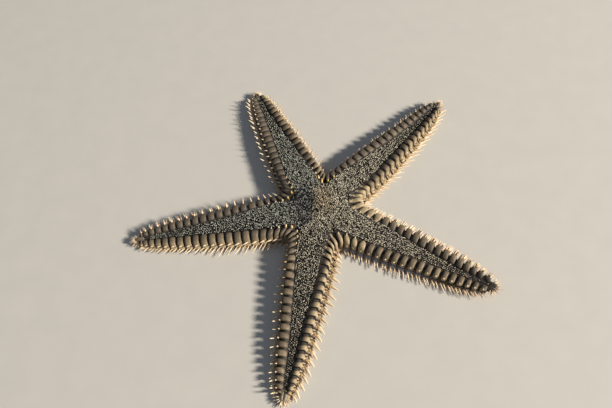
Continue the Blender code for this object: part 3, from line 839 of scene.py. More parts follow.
def back_path(arm, side, x):
    """From the field over the crown and down to the rim: share of the way out, and height."""
    crown, field, low = arm.size(CROWN_HEIGHT, x), arm.size(FIELD_HEIGHT, x), arm.low(x)
    closed = (arm.name, side) in CLOSED_ROWS
    foot = LEDGE_TOP * low + (0.0 if closed else 0.3) + 0.3 * arm.step(side, x)
    slope = INNER_SLOPE * low * closed
    return rounded(np.array([(0, field - 0.25), (0.08, crown - 0.5 - 1.6 * slope),
                             (0.38, crown + 0.05 - slope), (0.91, 0.97 * crown),
                             (1.0, 0.81 * crown), (1.0, foot)]))


def back_plate(arm, side, lines, k, shape, rng):
    """One plate between groove k and the next, as points in the star's frame."""
    a, t, h = shape.points.T
    fill = FILLS.get((arm.name, side), USUAL_FILL) * rng.uniform(0.95, 1.04)
    if k < FAN_PLATES:
        point = PALE_POINT if (arm.name, side) in LIT_FANS else POINT
        fill = FAN_FILL * fill * (1 - point * np.clip(1 - t / POINT_SHARE, 0, 1) ** 2)
    across = (0.5 + 0.5 * a * fill)[:, None]
    near = lines[k, 0] + (lines[k + 1, 0] - lines[k, 0]) * across
    far = lines[k, 1] + (lines[k + 1, 1] - lines[k, 1]) * across
    run = np.linalg.norm(far - near, axis=1)
    middle = lines[k:k + 2].mean((0, 1))[0]
    path = back_path(arm, side, middle) * (run.mean(), 1)
    place, square = follow(path, t)
    bulge = -PLATE_BULGE * a ** 2 + rng.uniform(-UNEVENNESS, UNEVENNESS)
    off = (h - 1) / 2 * PLATE_THICKNESS * arm.low(middle) + bulge
    reach = (place[:, 0] + square[:, 0] * off) / run.mean()
    spot = near + (far - near) * reach[:, None]
    z = place[:, 1] + square[:, 1] * off
    return arm.to_star(np.stack((spot[:, 0], side * spot[:, 1], z), -1))


print("points of a plate's path:", len(back_path(ARMS[0], 1, 20.0)))

# %% Painted shade, painted light and wear on the plates
# how much painted shade lies over each row, most where it faces away from the light
ROW_PAINTED_SHADE = {("far_left", 1): 0.72, ("far_left", -1): 0.04, ("left", 1): 0.35, ("left", -1): 0.68,
             ("far_right", 1): 0.52, ("right", 1): 0.24, ("near", -1): 0.27, ("near", 1): 0.08,
             ("far_right", -1): 0.03, ("right", -1): 0.08}
# how much painted shade darkens the plates' inner ends, and over what share of a plate
CLOSED_END, OPEN_END = (0.55, 0.5), (0.25, 0.3)
# painted shade on the fanned plates of the rows whose fans are not painted light
FAN_PAINTED_SHADE = 0.2
# these arms' plates are darker towards the tip
DARK_TIP_ARMS = ("far_right", "right")
TIP_DARKNESS, TIP_DARK_START, TIP_DARK_FADE = 0.6, 0.82, 0.15    # how dark these tips are, and from which share
# the most that painted shade and the darker tips darken a plate
DARKENING_LIMIT = 0.85
LIT_BACKS = {("near", 1): 0.8, ("far_left", -1): 0.56}      # rows painted pale nearly all over, as painted light
PALE_START = 0.35                  # from this share of a plate outwards
# how pale the fanned plates of those rows are painted, as painted light
FAN_PAINTED_LIGHT = 0.9
EDGE_SHADED_ROW = ("near", 1)             # the row whose plates have painted shade along their edges all round


def dullness(arm, side, lines, along):
    """How much painted shade darkens each point of a row: whole rows, more at the inner ends; some
    tips are darker too.
    """
    dull = np.full((len(lines) - 1, len(along)), ROW_PAINTED_SHADE.get((arm.name, side), 0.0))
    much, share = CLOSED_END if (arm.name, side) in CLOSED_ROWS else OPEN_END
    dull += much * np.clip(1 - along / share, 0, 1)
    if (arm.name, side) not in LIT_FANS + CLOSED_ROWS:
        dull[:FAN_PLATES] += FAN_PAINTED_SHADE
    if arm.name in DARK_TIP_ARMS:
        outer = arm.share(lines[1:, 1, 0])
        dull += TIP_DARKNESS * np.clip((outer - TIP_DARK_START) / TIP_DARK_FADE, 0, 1)[:, None]
    return np.clip(dull, 0, DARKENING_LIMIT)


def crest_of(shape):
    """1 on a bar's top, less at its long edges and 0 at its foot: where it is low, shade is
    painted.
    """
    a, _, h = shape.points.T
    return np.clip((h + 1) / 2, 0, 1) * (1 - 0.5 * np.clip((np.abs(a) - 0.7) / 0.3, 0, 1))


def edge_shade_of(arm, side, shape, start):
    """1 at a bar's long edges, from this share of its half width, in that one row alone: painted
    shade.
    """
    edges = np.clip((np.abs(shape.points[:, 0]) - start) / 0.3, 0, 1)
    return edges * ((arm.name, side) == EDGE_SHADED_ROW)


def wear_and_highlight_of(arm, side, count, along):
    """How pale each point of a row is: the outer ends from wear and a painted highlight, and as
    painted light the fans and some rows nearly all over.
    """
    fan = np.arange(count) < FAN_PLATES * ((arm.name, side) in LIT_FANS)
    end = np.maximum(along[None], FAN_PAINTED_LIGHT * fan[:, None])
    pale = LIT_BACKS.get((arm.name, side), 0.0)
    return np.maximum(end, pale * np.clip(along / PALE_START, 0, 1))


print("the dullest row:", max(ROW_PAINTED_SHADE, key=ROW_PAINTED_SHADE.get))

# %% The plates of the back, arm by arm
for number, arm in enumerate(ARMS):
    rng = seeded("back plates", number)
    batch = Batch()
    for side in (-1, 1):
        lines = groove_lines(arm, side)
        rows = np.array([back_plate(arm, side, lines, k, BAR, rng) for k in range(len(lines) - 1)])
        along = BAR.points[:, 1]
        batch.add(BAR, rows, tone=rng.uniform(-1, 1, (len(rows), 1)),
                  end=wear_and_highlight_of(arm, side, len(rows), along),
                  crest=crest_of(BAR) * (1 - edge_shade_of(arm, side, BAR, 0.62)),
                  dull=dullness(arm, side, lines, along))
    show(facing_out(batch.mesh("back_plates_" + arm.name)), PLATE, "skin")

# %% [markdown]
# ## The plates of the rim and the underside
# Under each plate of the back lies a plate of the rim. It shows as a dark band below the back
# plates, turns under the edge, and runs in to the groove for the feet as a flat bar. It is the
# same bevelled bar, sent along another path.

# %% One plate of the rim
RIM_BAR = bar(long_cuts=7, bevel=0.26)
RIM_THICKNESS = 0.5
BESIDE_FURROW = 1.35               # the strip beside the groove that the rim's plates leave free
SHARED_WALL = 0.15                 # half the gap between two arms' rims


def rim_path(arm, side, x):
    """How far in from the margin, and how high: from under the back plates, out and under."""
    low, free, step = arm.low(x), arm.free(side, x), arm.step(side, x)
    inner = arm.margin(side, x) - arm.furrow(x) - BESIDE_FURROW
    path = np.array([(1.8 * low + 0.5 * step, 1.75 * low + 0.4 * step),
                     (0.45 + 0.75 * step, LEDGE_TOP * low + 0.65 * step),
                     (-0.03, 1.12 * low + 0.2 * step), (0.15 + 0.1 * free, 0.4 * low),
                     (0.9 * low, 0.1), (0.5 * inner, 0.06), (max(inner, 1.3), 0.14)])
    return rounded(path)


def rim_plate(arm, side, grooves, k, shape, rng):
    """One plate between groove k and the next, as points in the star's frame."""
    a, t, h = shape.points.T
    across = 0.5 + 0.4 * a
    outer = grooves[k][1] + (grooves[k + 1][1] - grooves[k][1]) * across
    inner = grooves[k][0] + (grooves[k + 1][0] - grooves[k][0]) * across
    middle = (grooves[k][1] + grooves[k + 1][1]) / 2
    path = rim_path(arm, side, middle)
    place, square = follow(path, t)
    off = (1 - h) / 2 * RIM_THICKNESS * arm.low(middle) + 0.08 * a ** 2 + rng.uniform(-0.03, 0.03)
    inset = place[:, 0] + square[:, 0] * off
    z = np.maximum(place[:, 1] + square[:, 1] * off, 0.02)
    under = np.clip(inset / path[-1, 0], 0, 1)
    x = outer + (inner - outer) * under
    y = np.minimum(arm.margin(side, outer), arm.wall(side, outer) - SHARED_WALL) - inset
    return arm.to_star(np.stack((x, side * y, z), -1))


print("a rim plate ends", round(rim_path(ARMS[0], 1, 20.0)[-1, 0], 1), "mm in from the margin")

# %% The plates of the rim, arm by arm
PALE_RIMS = {("near", 1): 0.4, ("far_right", -1): 0.8, ("far_left", -1): 0.8, ("right", 1): 0.7,
             ("left", 1): 0.8, ("left", -1): 0.4, ("right", -1): 0.0}
USUAL_PALENESS = 0.2
SKY_LIT_RIM = ("right", -1)           # the rim row painted blue-grey as sky light, since it lies in shade; it fades towards the tip
PAINTED_SKY_LIGHT, SKY_LIGHT_END, SKY_LIGHT_FADE = 0.7, 0.72, 0.2
TUCKED, TUCK_FADE = 0.07, 0.1      # the share of a plate that lies under the back's plates, darkened there as painted shade
TURN, TURN_FADE = 0.4, 0.15        # the share of a plate from which it is the underside's brown

along = RIM_BAR.points[:, 1]
crest = crest_of(RIM_BAR) * np.clip((along - TUCKED) / TUCK_FADE, 0, 1)
for number, arm in enumerate(ARMS):
    rng = seeded("rim plates", number)
    batch = Batch()
    for side in (-1, 1):
        grooves = grooves_of(arm, side)
        rows = np.array([rim_plate(arm, side, grooves, k, RIM_BAR, rng)
                         for k in range(len(grooves) - 1)])
        edge = TURN + 0.06 * STEPS.get((arm.name, side), 0)
        out = arm.share(np.array([outer for _, outer in grooves[1:]]))
        cool = PAINTED_SKY_LIGHT * np.clip((SKY_LIGHT_END - out) / SKY_LIGHT_FADE, 0, 1)[:, None]
        batch.add(RIM_BAR, rows, crest=crest * (1 - edge_shade_of(arm, side, RIM_BAR, 0.5)),
                  below=np.clip((along - edge) / TURN_FADE, 0, 1),
                  pale=PALE_RIMS.get((arm.name, side), USUAL_PALENESS),
                  cool=cool * ((arm.name, side) == SKY_LIT_RIM))
    show(facing_out(batch.mesh("rim_plates_" + arm.name)), RIM, "skin")

# %% [markdown]
# ## Spines
# A spine is a flattened cone with a rounded point. It starts as a plain cone, is sliced into rings
# by cutting planes, and each ring is resized. Copies are laid from a root to a tip, so a spine is
# told only where it starts, where it ends and how wide it is.

# %% One spine
def spine_shape(sides, rings):
    """A cone from z = 0 to 1 whose rings follow the list of (height, radius)."""
    bm = bmesh.new()
    bmesh.ops.create_cone(bm, cap_ends=True, segments=sides, radius1=1, radius2=0, depth=1,
                          matrix=Matrix.Translation((0, 0, 0.5)))
    for height, _ in rings:
        bmesh.ops.bisect_plane(bm, geom=bm.verts[:] + bm.edges[:] + bm.faces[:],
                               plane_co=(0, 0, height), plane_no=(0, 0, 1))
    for vert in bm.verts:
        for height, radius in rings:
            if abs(vert.co.z - height) < 1e-4:
                vert.co.xy = vert.co.xy.normalized() * radius
    bmesh.ops.remove_doubles(bm, verts=bm.verts, dist=1e-4)
    return Shape(bm)


FINE_SPINE = spine_shape(7, ((0.12, 1.0), (0.4, 0.86), (0.7, 0.62), (0.9, 0.36), (0.97, 0.2)))
SMALL_SPINE = spine_shape(5, ((0.5, 0.85), (0.9, 0.45)))
print("triangles in a spine:", [int((s.sides - 2).sum()) for s in (FINE_SPINE, SMALL_SPINE)])

# %% How copies are laid
STAR_SPAN = 130.0                  # the square of the star that the unwrap covers
PATCH = 0.003                      # the side of a copy's own patch on that unwrap


def patch_of(roots, shape):
    """Where each copy's colours are kept on the unwrap: a small patch at its root."""
    centre = 0.5 + roots[:, :2] / STAR_SPAN
    low, high = shape.points.min(0), shape.points.max(0)
    span = (shape.points - low) / (high - low) - 0.5
    return (centre[:, 0:1] + PATCH * span[None, :, 2], centre[:, 1:2] + PATCH * span[None, :, 0])


def lay(batch, shape, roots, tips, wide, thick, bow=None, **numbers):
    """Copies of a spine from roots to tips, wide across the level and thick across the upright."""
    roots, tips = np.atleast_2d(roots), np.atleast_2d(tips)
    run = tips - roots
    level = np.cross(run, (0, 0, 1.0)) + (1e-6, 0, 0)
    level /= np.linalg.norm(level, axis=1, keepdims=True)
    over = np.cross(run, level)
    over /= np.linalg.norm(over, axis=1, keepdims=True)
    x, y, z = shape.points.T
    wide, thick = (np.broadcast_to(s, len(roots))[:, None, None] for s in (wide, thick))
    places = (roots[:, None] + run[:, None] * z[None, :, None]
              + level[:, None] * wide * x[None, :, None] + over[:, None] * thick * y[None, :, None])
    if bow is not None:
        places = places + bow[:, None] * (4 * z * (1 - z))[None, :, None]
    u, v = patch_of(roots, shape)
    batch.add(shape, places, reach=np.clip(z, 0, 1)[None], u=u, v=v, **numbers)


print("a copy's patch on the unwrap:", round(PATCH * STAR_SPAN, 2), "mm wide")

# %% [markdown]
# ## The fringe
# Every rim plate carries three to six spines that lean towards the arm's tip. On this star the
# rows differ: one row of the near arm has a single stout spine to each plate between short ones,
# others have fine pairs or dense brushes. Their lengths and leans are drawn from a seeded
# generator, so each run grows the same star.

# %% How the spines of the fringe stand
SPINE_LENGTH = ((0.05, 1.7), (0.22, 2.9), (0.5, 3.2), (0.8, 2.9), (1.0, 2.3))
SPINE_LEAN = ((0.1, 47.0), (0.14, 36.0), (0.22, 24.0), (0.4, 27.0), (1.0, 48.0))
FINE_HALF_WIDTH = 0.27
SPINE_ROOT = 0.5                   # how deep a spine starts
LOWEST_TIP = 0.25
HEIGHT_LIFT = 16                   # degrees of lift for each millimetre above the row
# tones that keep a whole spine in the colour of its root or of its tip
ALL_ROOT, ALL_TIP = -10.0, 10.0
# how much of their length spines keep on an arm's outer half, in rows where they shorten
SHORTENED = {("left", 1): 0.6}
DULL_FRINGES = {("far_left", -1): 0.4, ("left", -1): 0.35}    # rows with browner spines
RISES = {"raised": 34, "stout": 6}  # degrees, for rows whose spines stand up into the light
# where on its plate each spine grows, as a share of the plate's width, then its length and its
# width as shares of the row's, and how far above the row it stands
FRINGES = {
    "pairs": ((0.3, 1.0, 1.05, 0.0), (0.72, 0.84, 1.0, 0.1), (0.5, 0.45, 0.7, -0.45)),
    "raised": ((0.5, 1.0, 1.0, 0.5), (0.2, 0.74, 0.85, 0.5), (0.8, 0.5, 0.7, -0.3)),
    "slim": ((0.4, 1.0, 1.0, 0.0), (0.85, 0.7, 0.75, 0.1), (0.6, 0.5, 0.7, -0.4)),
    "single": ((0.5, 1.0, 1.0, 0.0), (0.2, 0.36, 0.75, 0.4), (0.8, 0.34, 0.75, 0.35),
               (0.3, 0.5, 0.7, -0.35), (0.75, 0.5, 0.7, -0.4)),
    "stout": ((0.52, 1.0, 1.0, 0.0), (0.2, 0.34, 0.45, 0.25), (0.84, 0.36, 0.45, 0.3),
              (0.14, 0.42, 0.4, -0.3), (0.86, 0.4, 0.35, -0.35)),
    "bushy": ((0.18, 0.8, 0.9, 0.35), (0.5, 0.9, 1.0, 0.5), (0.82, 0.75, 0.9, 0.35),
              (0.34, 1.0, 1.0, -0.05), (0.68, 1.0, 1.0, 0.0), (0.5, 0.8, 0.8, -0.4))}
print("spines to a plate:", {stand: len(spines) for stand, spines in FRINGES.items()})

# %% One row of the fringe
def fringe_row(arm, side, batch, rng):
    """The spines on the rim's plates along one edge of an arm."""
    long, wide, slant, stand, _ = arm.rows[side]
    grooves = grooves_of(arm, side)
    for (_, here), (_, following) in zip(grooves[1:], grooves[2:]):
        for across, length, width, height in FRINGES[stand]:
            x = here + (following - here) * (across + rng.uniform(-0.06, 0.06))
            share = arm.share(x)
            slanted = np.interp(share, (0.1, 0.3), (0, slant))
            lean = np.interp(share, *zip(*SPINE_LEAN)) + slanted + rng.uniform(-5, 5)
            lean = math.radians(lean)
            lift = rng.uniform(-4, 12) + HEIGHT_LIFT * height + RISES.get(stand, 0)
            lift = math.radians(lift)
            way = np.array((math.sin(lean) * math.cos(lift), math.cos(lean) * math.cos(lift),
                            math.sin(lift)))
            low = arm.low(x)
            base = np.array((x, arm.margin(side, x), (SPINE_HEIGHT + height) * low))
            reach = np.interp(share, *zip(*SPINE_LENGTH)) * long * length * rng.uniform(0.85, 1.12)
            reach *= np.interp(share, (0.45, 0.7), (1, SHORTENED.get((arm.name, side), 1)))
            root, tip = base - way * SPINE_ROOT, base + way * reach
            tip[2] = max(tip[2], LOWEST_TIP)
            flip = (1, side, 1)
            ends = arm.to_star(np.array((root * flip, tip * flip)))
            half = FINE_HALF_WIDTH * wide * width * (0.75 + 0.25 * low)
            bow = rng.normal(0, 0.08, (1, 3)) + (0, 0, 0.05)
            # raised rows are ivory down to the root: the spines' own pale colour, and painted light
            # on the part that lies in the arm's shadow
            tone = ALL_TIP if stand == "raised" else rng.uniform(-1, 1)
            lay(batch, FINE_SPINE, ends[:1], ends[1:], half, half * 0.75, bow, tone=tone,
                warm=0.0, dim=DULL_FRINGES.get((arm.name, side), 0.0))


print("the rows:", {arm.name: (arm.rows[1][3], arm.rows[-1][3]) for arm in ARMS})

# %% Stubs on the stepped rims
# on each rim plate that stands out as a step: how many stubs, how long, how far they spread
# along the arm, how golden and how brown they are
STUBS = {("near", 1): (3, 0.6, 0.15, 0.65, 0.4), ("far_right", -1): (5, 0.95, 0.34, 0.3, 0.15)}


def stubs_on_step(arm, side, batch, rng):
    """Scale-like stubs that cover the step, above the fringe."""
    grooves = grooves_of(arm, side)
    count, long, spread, warm, dim = STUBS[arm.name, side]
    for (_, here), (_, following) in zip(grooves[2:], grooves[3:]):
        step, low = float(arm.step(side, here)), float(arm.low(here))
        top, foot = LEDGE_TOP * low + 0.65 * step, 1.12 * low + 0.2 * step
        for k in range(count):
            up = (k + rng.uniform(0.1, 0.9)) / count
            x = here + (following - here) * (0.5 + rng.uniform(-spread, spread))
            y = arm.margin(side, x) - up * (0.45 + 0.75 * step)
            root = np.array((x, y, foot + (top - foot) * up - 0.2))
            way = np.array((0.7, 0.75, 0.3)) + rng.normal(0, 0.2, 3)
            tip = root + way * long * rng.uniform(0.8, 1.2) * low
            ends = arm.to_star(np.array((root, tip)) * (1, side, 1))
            lay(batch, FINE_SPINE, ends[:1], ends[1:], 0.34 * low, 0.26 * low, None,
                tone=ALL_ROOT, warm=warm, dim=dim + 0.3 * (1 - up))


print("rows with stubs:", list(STUBS))

# %% The fringe, arm by arm
for number, arm in enumerate(ARMS):
    rng = seeded("fringe", number)
    batch = Batch()
    for side in (-1, 1):
        fringe_row(arm, side, batch, rng)
        if (arm.name, side) in STUBS:
            stubs_on_step(arm, side, batch, rng)
    show(batch.mesh("fringe_" + arm.name), SPINE, "skin")

# %% [markdown]
# ## The spines that give the star its name
# Each plate of the back carries a small cone near its outer end, and the first plates beside the
# disc a second, stouter one at their inner end, orange in most of the angles. Most stand square to
# their plate. On the outer ends of some rows they grow in tufts and lean outwards.

# %% A cone on a plate
STUD = spine_shape(7, ((0.3, 1.0), (0.6, 0.75), (0.85, 0.42), (0.96, 0.2)))
INNER_CONES = ((0.42, 1.25, 0.95), (0.4, 1.1, 0.7), (0.32, 0.8, 0.35), (0.24, 0.55, 0.1))
# the rows where they are orange, and how much
ORANGE_AXILS = {("far_left", -1): 1.0, ("far_right", 1): 1.0, ("far_left", 1): 0.9,
                ("left", -1): 0.9, ("left", 1): 0.45, ("near", -1): 0.5}
# on the plates further out: how far along the plate, half width, length, lean to the tip and
# outwards, and how far from the plate's middle towards the tip
OUTER_CONES = {"bead": (0.6, 0.26, 0.7, 0.1, 0.0, 0.0), "knob": (0.92, 0.24, 0.4, 0.1, 0.0, 0.0),
               "flake": (0.86, 0.34, 1.5, 2.4, 0.0, 0.0), "cone": (0.56, 0.3, 1.85, 0.15, 0.0, 0.0),
               "peg": (0.61, 0.22, 1.1, 0.5, 0.35, 0.5),
               "dot": (0.63, 0.25, 0.5, 0.2, 0.5, 0.9),
               "stud": (0.72, 0.4, 0.3, 0.0, 0.0, 0.0)}
# rows whose plates bear a tuft: its first plate, how many spines, how long and how wide they
# are, and between which shares of the plate's path they stand
TUFTS = {("right", 1): (1, 6, 1.9, 0.22, 0.54, 0.7), ("left", -1): (8, 4, 1.8, 0.15, 0.6, 0.76),
         ("far_right", 1): (1, 2, 1.0, 0.16, 0.58, 0.76),
         ("far_left", -1): (1, 2, 0.9, 0.17, 0.62, 0.8)}


def cone_on_plate(arm, side, lines, k, share, half, length, batch, rng, warm, lean=0.12,
                  outward=0.0, slide=0.0):
    """A cone on plate k, at a share of the plate's path from the field to the rim."""
    near, far = lines[k:k + 2, 0].mean(0), lines[k:k + 2, 1].mean(0)
    run = np.linalg.norm(far - near)
    path = back_path(arm, side, lines[k:k + 2].mean((0, 1))[0]) * (run, 1)
    place, square = follow(path, np.array([share]))
    way = np.array((square[0, 0], square[0, 1]))
    out = (far - near) / run
    base = np.array((*(near + out * place[0, 0]), place[0, 1])) + (slide, 0, 0)
    rise = np.array((*(out * way[0]), way[1])) + rng.normal(0, 0.1, 3)
    rise += (lean + outward * out[0], outward * out[1], 0)
    rise /= np.linalg.norm(rise)
    flip = (1, side, 1)
    ends = arm.to_star(np.array(((base - rise * 0.3) * flip, (base + rise * length) * flip)))
    lay(batch, STUD, ends[:1], ends[1:], half, half, None, tone=rng.uniform(-1, 1), warm=warm)


print("triangles in a cone:", int((STUD.sides - 2).sum()))

# %% The cones and the tufts of one row
INNER_SHARE = 0.06                 # where on its plate an inner cone stands
THIN = 0.6                         # inner cones are this thin where they aren't orange
TUFT_SPREAD, TUFT_LEAN, TUFT_OUTWARD = 1.3, 0.5, 0.75


def inner_cones(arm, side, lines, batch, rng):
    """Stout cones at the inner ends of the first plates."""
    orange = ORANGE_AXILS.get((arm.name, side), 0.0)
    thin = 1.0 if orange else THIN
    for k, (half, length, warm) in enumerate(INNER_CONES):
        cone_on_plate(arm, side, lines, k, INNER_SHARE, half * thin,
                      length * (0.3 + 0.7 * thin), batch, rng, warm * orange)


def outer_cones(arm, side, lines, batch, rng):
    """One small cone near the outer end of each plate."""
    share, half, length, lean, outward, slide = OUTER_CONES[arm.rows[side][4]]
    for k in range(1, len(lines) - 1):
        small = float(arm.low(lines[k, 0, 0]))
        fade = np.interp(arm.share(lines[k, 0, 0]), (0.3, 0.55), (1.0, 0.5))
        cone_on_plate(arm, side, lines, k, share, half * small,
                      length * fade * rng.uniform(0.85, 1.15) * small, batch, rng, 0.0, lean,
                      outward, slide * small)


def tufts(arm, side, lines, batch, rng):
    """Several thin cones side by side on each plate."""
    first, count, long, half, low_share, high_share = TUFTS[arm.name, side]
    for k in range(first, len(lines) - 1):
        small = float(arm.low(lines[k, 0, 0]))
        for j in range(count):
            slide = (j / (count - 1) - 0.5) * TUFT_SPREAD * small
            cone_on_plate(arm, side, lines, k, rng.uniform(low_share, high_share), half * small,
                          long * rng.uniform(0.75, 1.1) * (0.4 + 0.6 * small), batch, rng, 0.0,
                          TUFT_LEAN + 0.3 * slide, TUFT_OUTWARD, slide)


print("rows with tufts:", list(TUFTS))

# %% The cones, arm by arm
for number, arm in enumerate(ARMS):
    rng = seeded("cones", number)
    batch = Batch()
    for side in (-1, 1):
        lines = groove_lines(arm, side)
        inner_cones(arm, side, lines, batch, rng)
        outer_cones(arm, side, lines, batch, rng)
        if (arm.name, side) in TUFTS:
            tufts(arm, side, lines, batch, rng)
    show(batch.mesh("plate_cones_" + arm.name), SPINE, "skin")

# %% [markdown]
# ## Paxillae
# A paxilla is a stalk whose flat head bears a ring of blunt pegs, like a tiny flower. Thousands of
# them stand so close that their heads make a second skin. Three variants are modelled, and they
# are set on a honeycomb of places, shaken a little, each square to the skin below it.

# %% Three paxillae
HEAD_STRETCH = 1.2                 # heads are longer along the arm than across it
HEAD_WIDTH = 0.8


def paxilla(pegs, spread):
    """A stalk with a ring of pegs and one in the middle. Its parts are numbered: 0 the stalk, 1
    and on the pegs."""
    bm = bmesh.new()
    numbers = bm.verts.layers.int.new("number")
    bmesh.ops.create_cone(bm, cap_ends=True, segments=5, radius1=0.17, radius2=0.11, depth=0.6,
                          matrix=Matrix.Translation((0, 0, 0.12)))
    stands = [(2 * math.pi * k / pegs, spread, 0.1) for k in range(pegs)]
    stands.append((0.5, 0.3 * spread, 0.03))
    for k, (turn, tilt, away) in enumerate(stands):
        lean = Matrix.Rotation(turn, 4, "Z") @ Matrix.Translation((away, 0, 0.36))
        lean = lean @ Matrix.Rotation(tilt, 4, "Y") @ Matrix.Translation((0, 0, 0.14))
        for vert in bmesh.ops.create_cone(bm, cap_ends=True, segments=4, radius1=0.078,
                                          radius2=0.052, depth=0.32, matrix=lean)["verts"]:
            vert[numbers] = k + 1
    bmesh.ops.scale(bm, vec=(HEAD_STRETCH, HEAD_WIDTH, 1), verts=bm.verts)
    parts = np.array([vert[numbers] for vert in bm.verts])
    shape = Shape(bm)
    shape.parts = parts
    return shape


PAXILLAE = [paxilla(6, 0.6), paxilla(5, 0.45), paxilla(6, 0.7)]
print("triangles in a paxilla:", [int((s.sides - 2).sum()) for s in PAXILLAE])

# %% Where they stand
PITCH = 0.7                        # from one to the next
ROW_SHARE = 0.866                  # from row to row, as a share of that
SHAKE = 0.09                       # how far each place is moved at random
CLOSEST = 0.46                     # where two come closer than this, one is left out


def honeycomb(wide, high, pitch):
    """Places in rows, every other row moved by half a step."""
    rows = np.arange(-high, high, pitch * ROW_SHARE)
    columns = np.arange(-wide, wide, pitch)
    return np.array([(x + (k % 2) * pitch / 2, y) for k, y in enumerate(rows) for x in columns])


def arm_places(arm, rng):
    """The places in an arm's field, in the arm's own frame."""
    spots = honeycomb(arm.length, 6, PITCH)
    spots = spots + rng.normal(0, SHAKE, spots.shape)
    x, y = spots.T
    side = np.where(y > 0, 1, -1)
    inner = np.where(side > 0, arm.field(1, x), arm.field(-1, x)) - 0.1
    wall = np.where(side > 0, arm.wall(1, x), arm.wall(-1, x))
    keep = (x > DISC_APOTHEM) & (x < arm.length - TIP_LENGTH - 0.6) & (np.abs(y) < inner)
    return spots[keep & (np.abs(y) < wall)]


def disc_places(rng):
    """The places on the disc, seen from its centre: those before the face of every arm."""
    spots = honeycomb(11, 11, PITCH)
    spots = spots + rng.normal(0, SHAKE, spots.shape)
    ways = np.array([(math.cos(math.radians(a.direction)), math.sin(math.radians(a.direction)))
                     for a in ARMS])
    return spots[(spots @ ways.T).max(1) < DISC_APOTHEM]


def thinned(spots):
    """Leaves out every place that has an earlier one too near."""
    taken = KDTree(len(spots))
    for k, spot in enumerate(spots):
        taken.insert((*spot, 0), k)
    taken.balance()
    return spots[[k for k, spot in enumerate(spots)
                  if all(i >= k for _, i, _ in taken.find_range((*spot, 0), CLOSEST))]]


print("places on the longest arm:", len(arm_places(ARMS[1], seeded("paxillae"))))

# %% The painted shadow on the disc
SHADOW_SPOTS = ((0.8, 7.5, 3.3), (0.6, 3.0, 3.5), (-0.3, -2.0, 2.9), (-3.0, 5.0, 3.0))   # x, y, width
CLEAR_ABOVE, SHADOW_FADE = 0.93, 0.75


def dusk_at(spots):
    """A painted shadow on the disc left of the knob: how dark blue-grey it is at each place."""
    clear = np.ones(len(spots))
    for x, y, width in SHADOW_SPOTS:
        clear *= 1 - np.exp(-((spots - (x, y)) ** 2).sum(1) / width ** 2)
    dusk = np.clip((CLEAR_ABOVE - clear) / SHADOW_FADE, 0, 1)
    return dusk * dusk * (3 - 2 * dusk)


print("the stain at the disc's centre:", round(dusk_at(np.array([DISC_CENTRE]))[0], 2))

# %% Growing one group of paxillae
KNOB = (5.46, 4.09)                # the raised middle of the back, a little off the centre
KNOB_WARMTH, KNOB_WIDTH = 0.5, 5.0
HEAD_TURN = 0.6                    # how much the heads' directions vary, in radians
HEAD_SPECKLE = 0.6                 # how much the heads differ in tone
PEG_SPECKLE = 1.4                  # and how much the pegs of one head do
UPRIGHT, SWAY = 0.6, 0.12          # how far stalks turn from the skin's slope, and how unevenly


def grow_paxillae(name, spots, sizes, along, dark, cool, contrast, rng):
    """Drops each place onto the skin and stands a paxilla there, its head turned about one way."""
    batch = Batch()
    kinds = rng.integers(0, len(PAXILLAE), len(spots))
    roots, normals = np.zeros((len(spots), 3)), np.zeros((len(spots), 3))
    for k, (x, y) in enumerate(spots):
        hit, normal, _, _ = SKIN_TREE.ray_cast(Vector((x, y, 20)), Vector((0, 0, -1)))
        roots[k], normals[k] = hit, normal
    normals[:, 2] += UPRIGHT
    normals += rng.normal(0, SWAY, normals.shape)
    normals /= np.linalg.norm(normals, axis=1, keepdims=True)
    turn = along + rng.normal(0, HEAD_TURN, len(spots))
    first = np.stack((np.cos(turn), np.sin(turn), np.zeros(len(spots))), -1)
    second = np.cross(normals, first)
    second /= np.linalg.norm(second, axis=1, keepdims=True)
    first = np.cross(second, normals)
    frames = np.stack((first, second, normals), 1)
    tones = HEAD_SPECKLE * rng.uniform(-1, 1, len(spots)) - dark
    dusk = dusk_at(spots)
    near = np.exp(-((spots - KNOB) ** 2).sum(1) / KNOB_WIDTH ** 2)
    warm = KNOB_WARMTH * near * (1 - dusk)
    for kind, shape in enumerate(PAXILLAE):
        mine = kinds == kind
        places = roots[mine][:, None] + np.einsum(
            "ni,cij->cnj", shape.points, frames[mine] * sizes[mine][:, None, None])
        reach = np.clip(shape.points[:, 2] / 0.6, 0, 1)
        u, v = patch_of(roots[mine], shape)
        speckle = rng.uniform(-1, 1, (mine.sum(), shape.parts.max() + 1))
        speckle *= contrast * PEG_SPECKLE
        batch.add(shape, places, reach=reach[None],
                  tone=tones[mine][:, None] + speckle[:, shape.parts],
                  warm=warm[mine][:, None], dusk=dusk[mine][:, None], cool=cool, u=u, v=v)
    show(batch.mesh(name), PAXILLA, "field")


# %% The paxillae of the disc and of each arm
# how dark each field is, how much darker it grows towards the tip, how blue it is, and how
# much more than usual its pegs differ
FIELDS = {"left": (0.27, 0.7, 1.0, 2.3), "far_left": (0.12, 1.0, 0.9, 2.0),
          "near": (0.1, 0.6, 0.15, 1.1), "right": (-0.1, 1.0, 0.0, 1.0),
          "far_right": (-0.28, 1.3, 0.15, 2.2)}
DISC_FIELD = (-0.3, 0, 0, 1.1)
DISC_TURN = 100                    # degrees: how the heads on the disc are turned
SMALLER_OUT = ((0, 12, 60), (1.0, 1.0, 0.72))    # distance from the centre, and size
DARKER_FROM, DARKER_FADE = 0.66, 0.2             # shares of the average arm

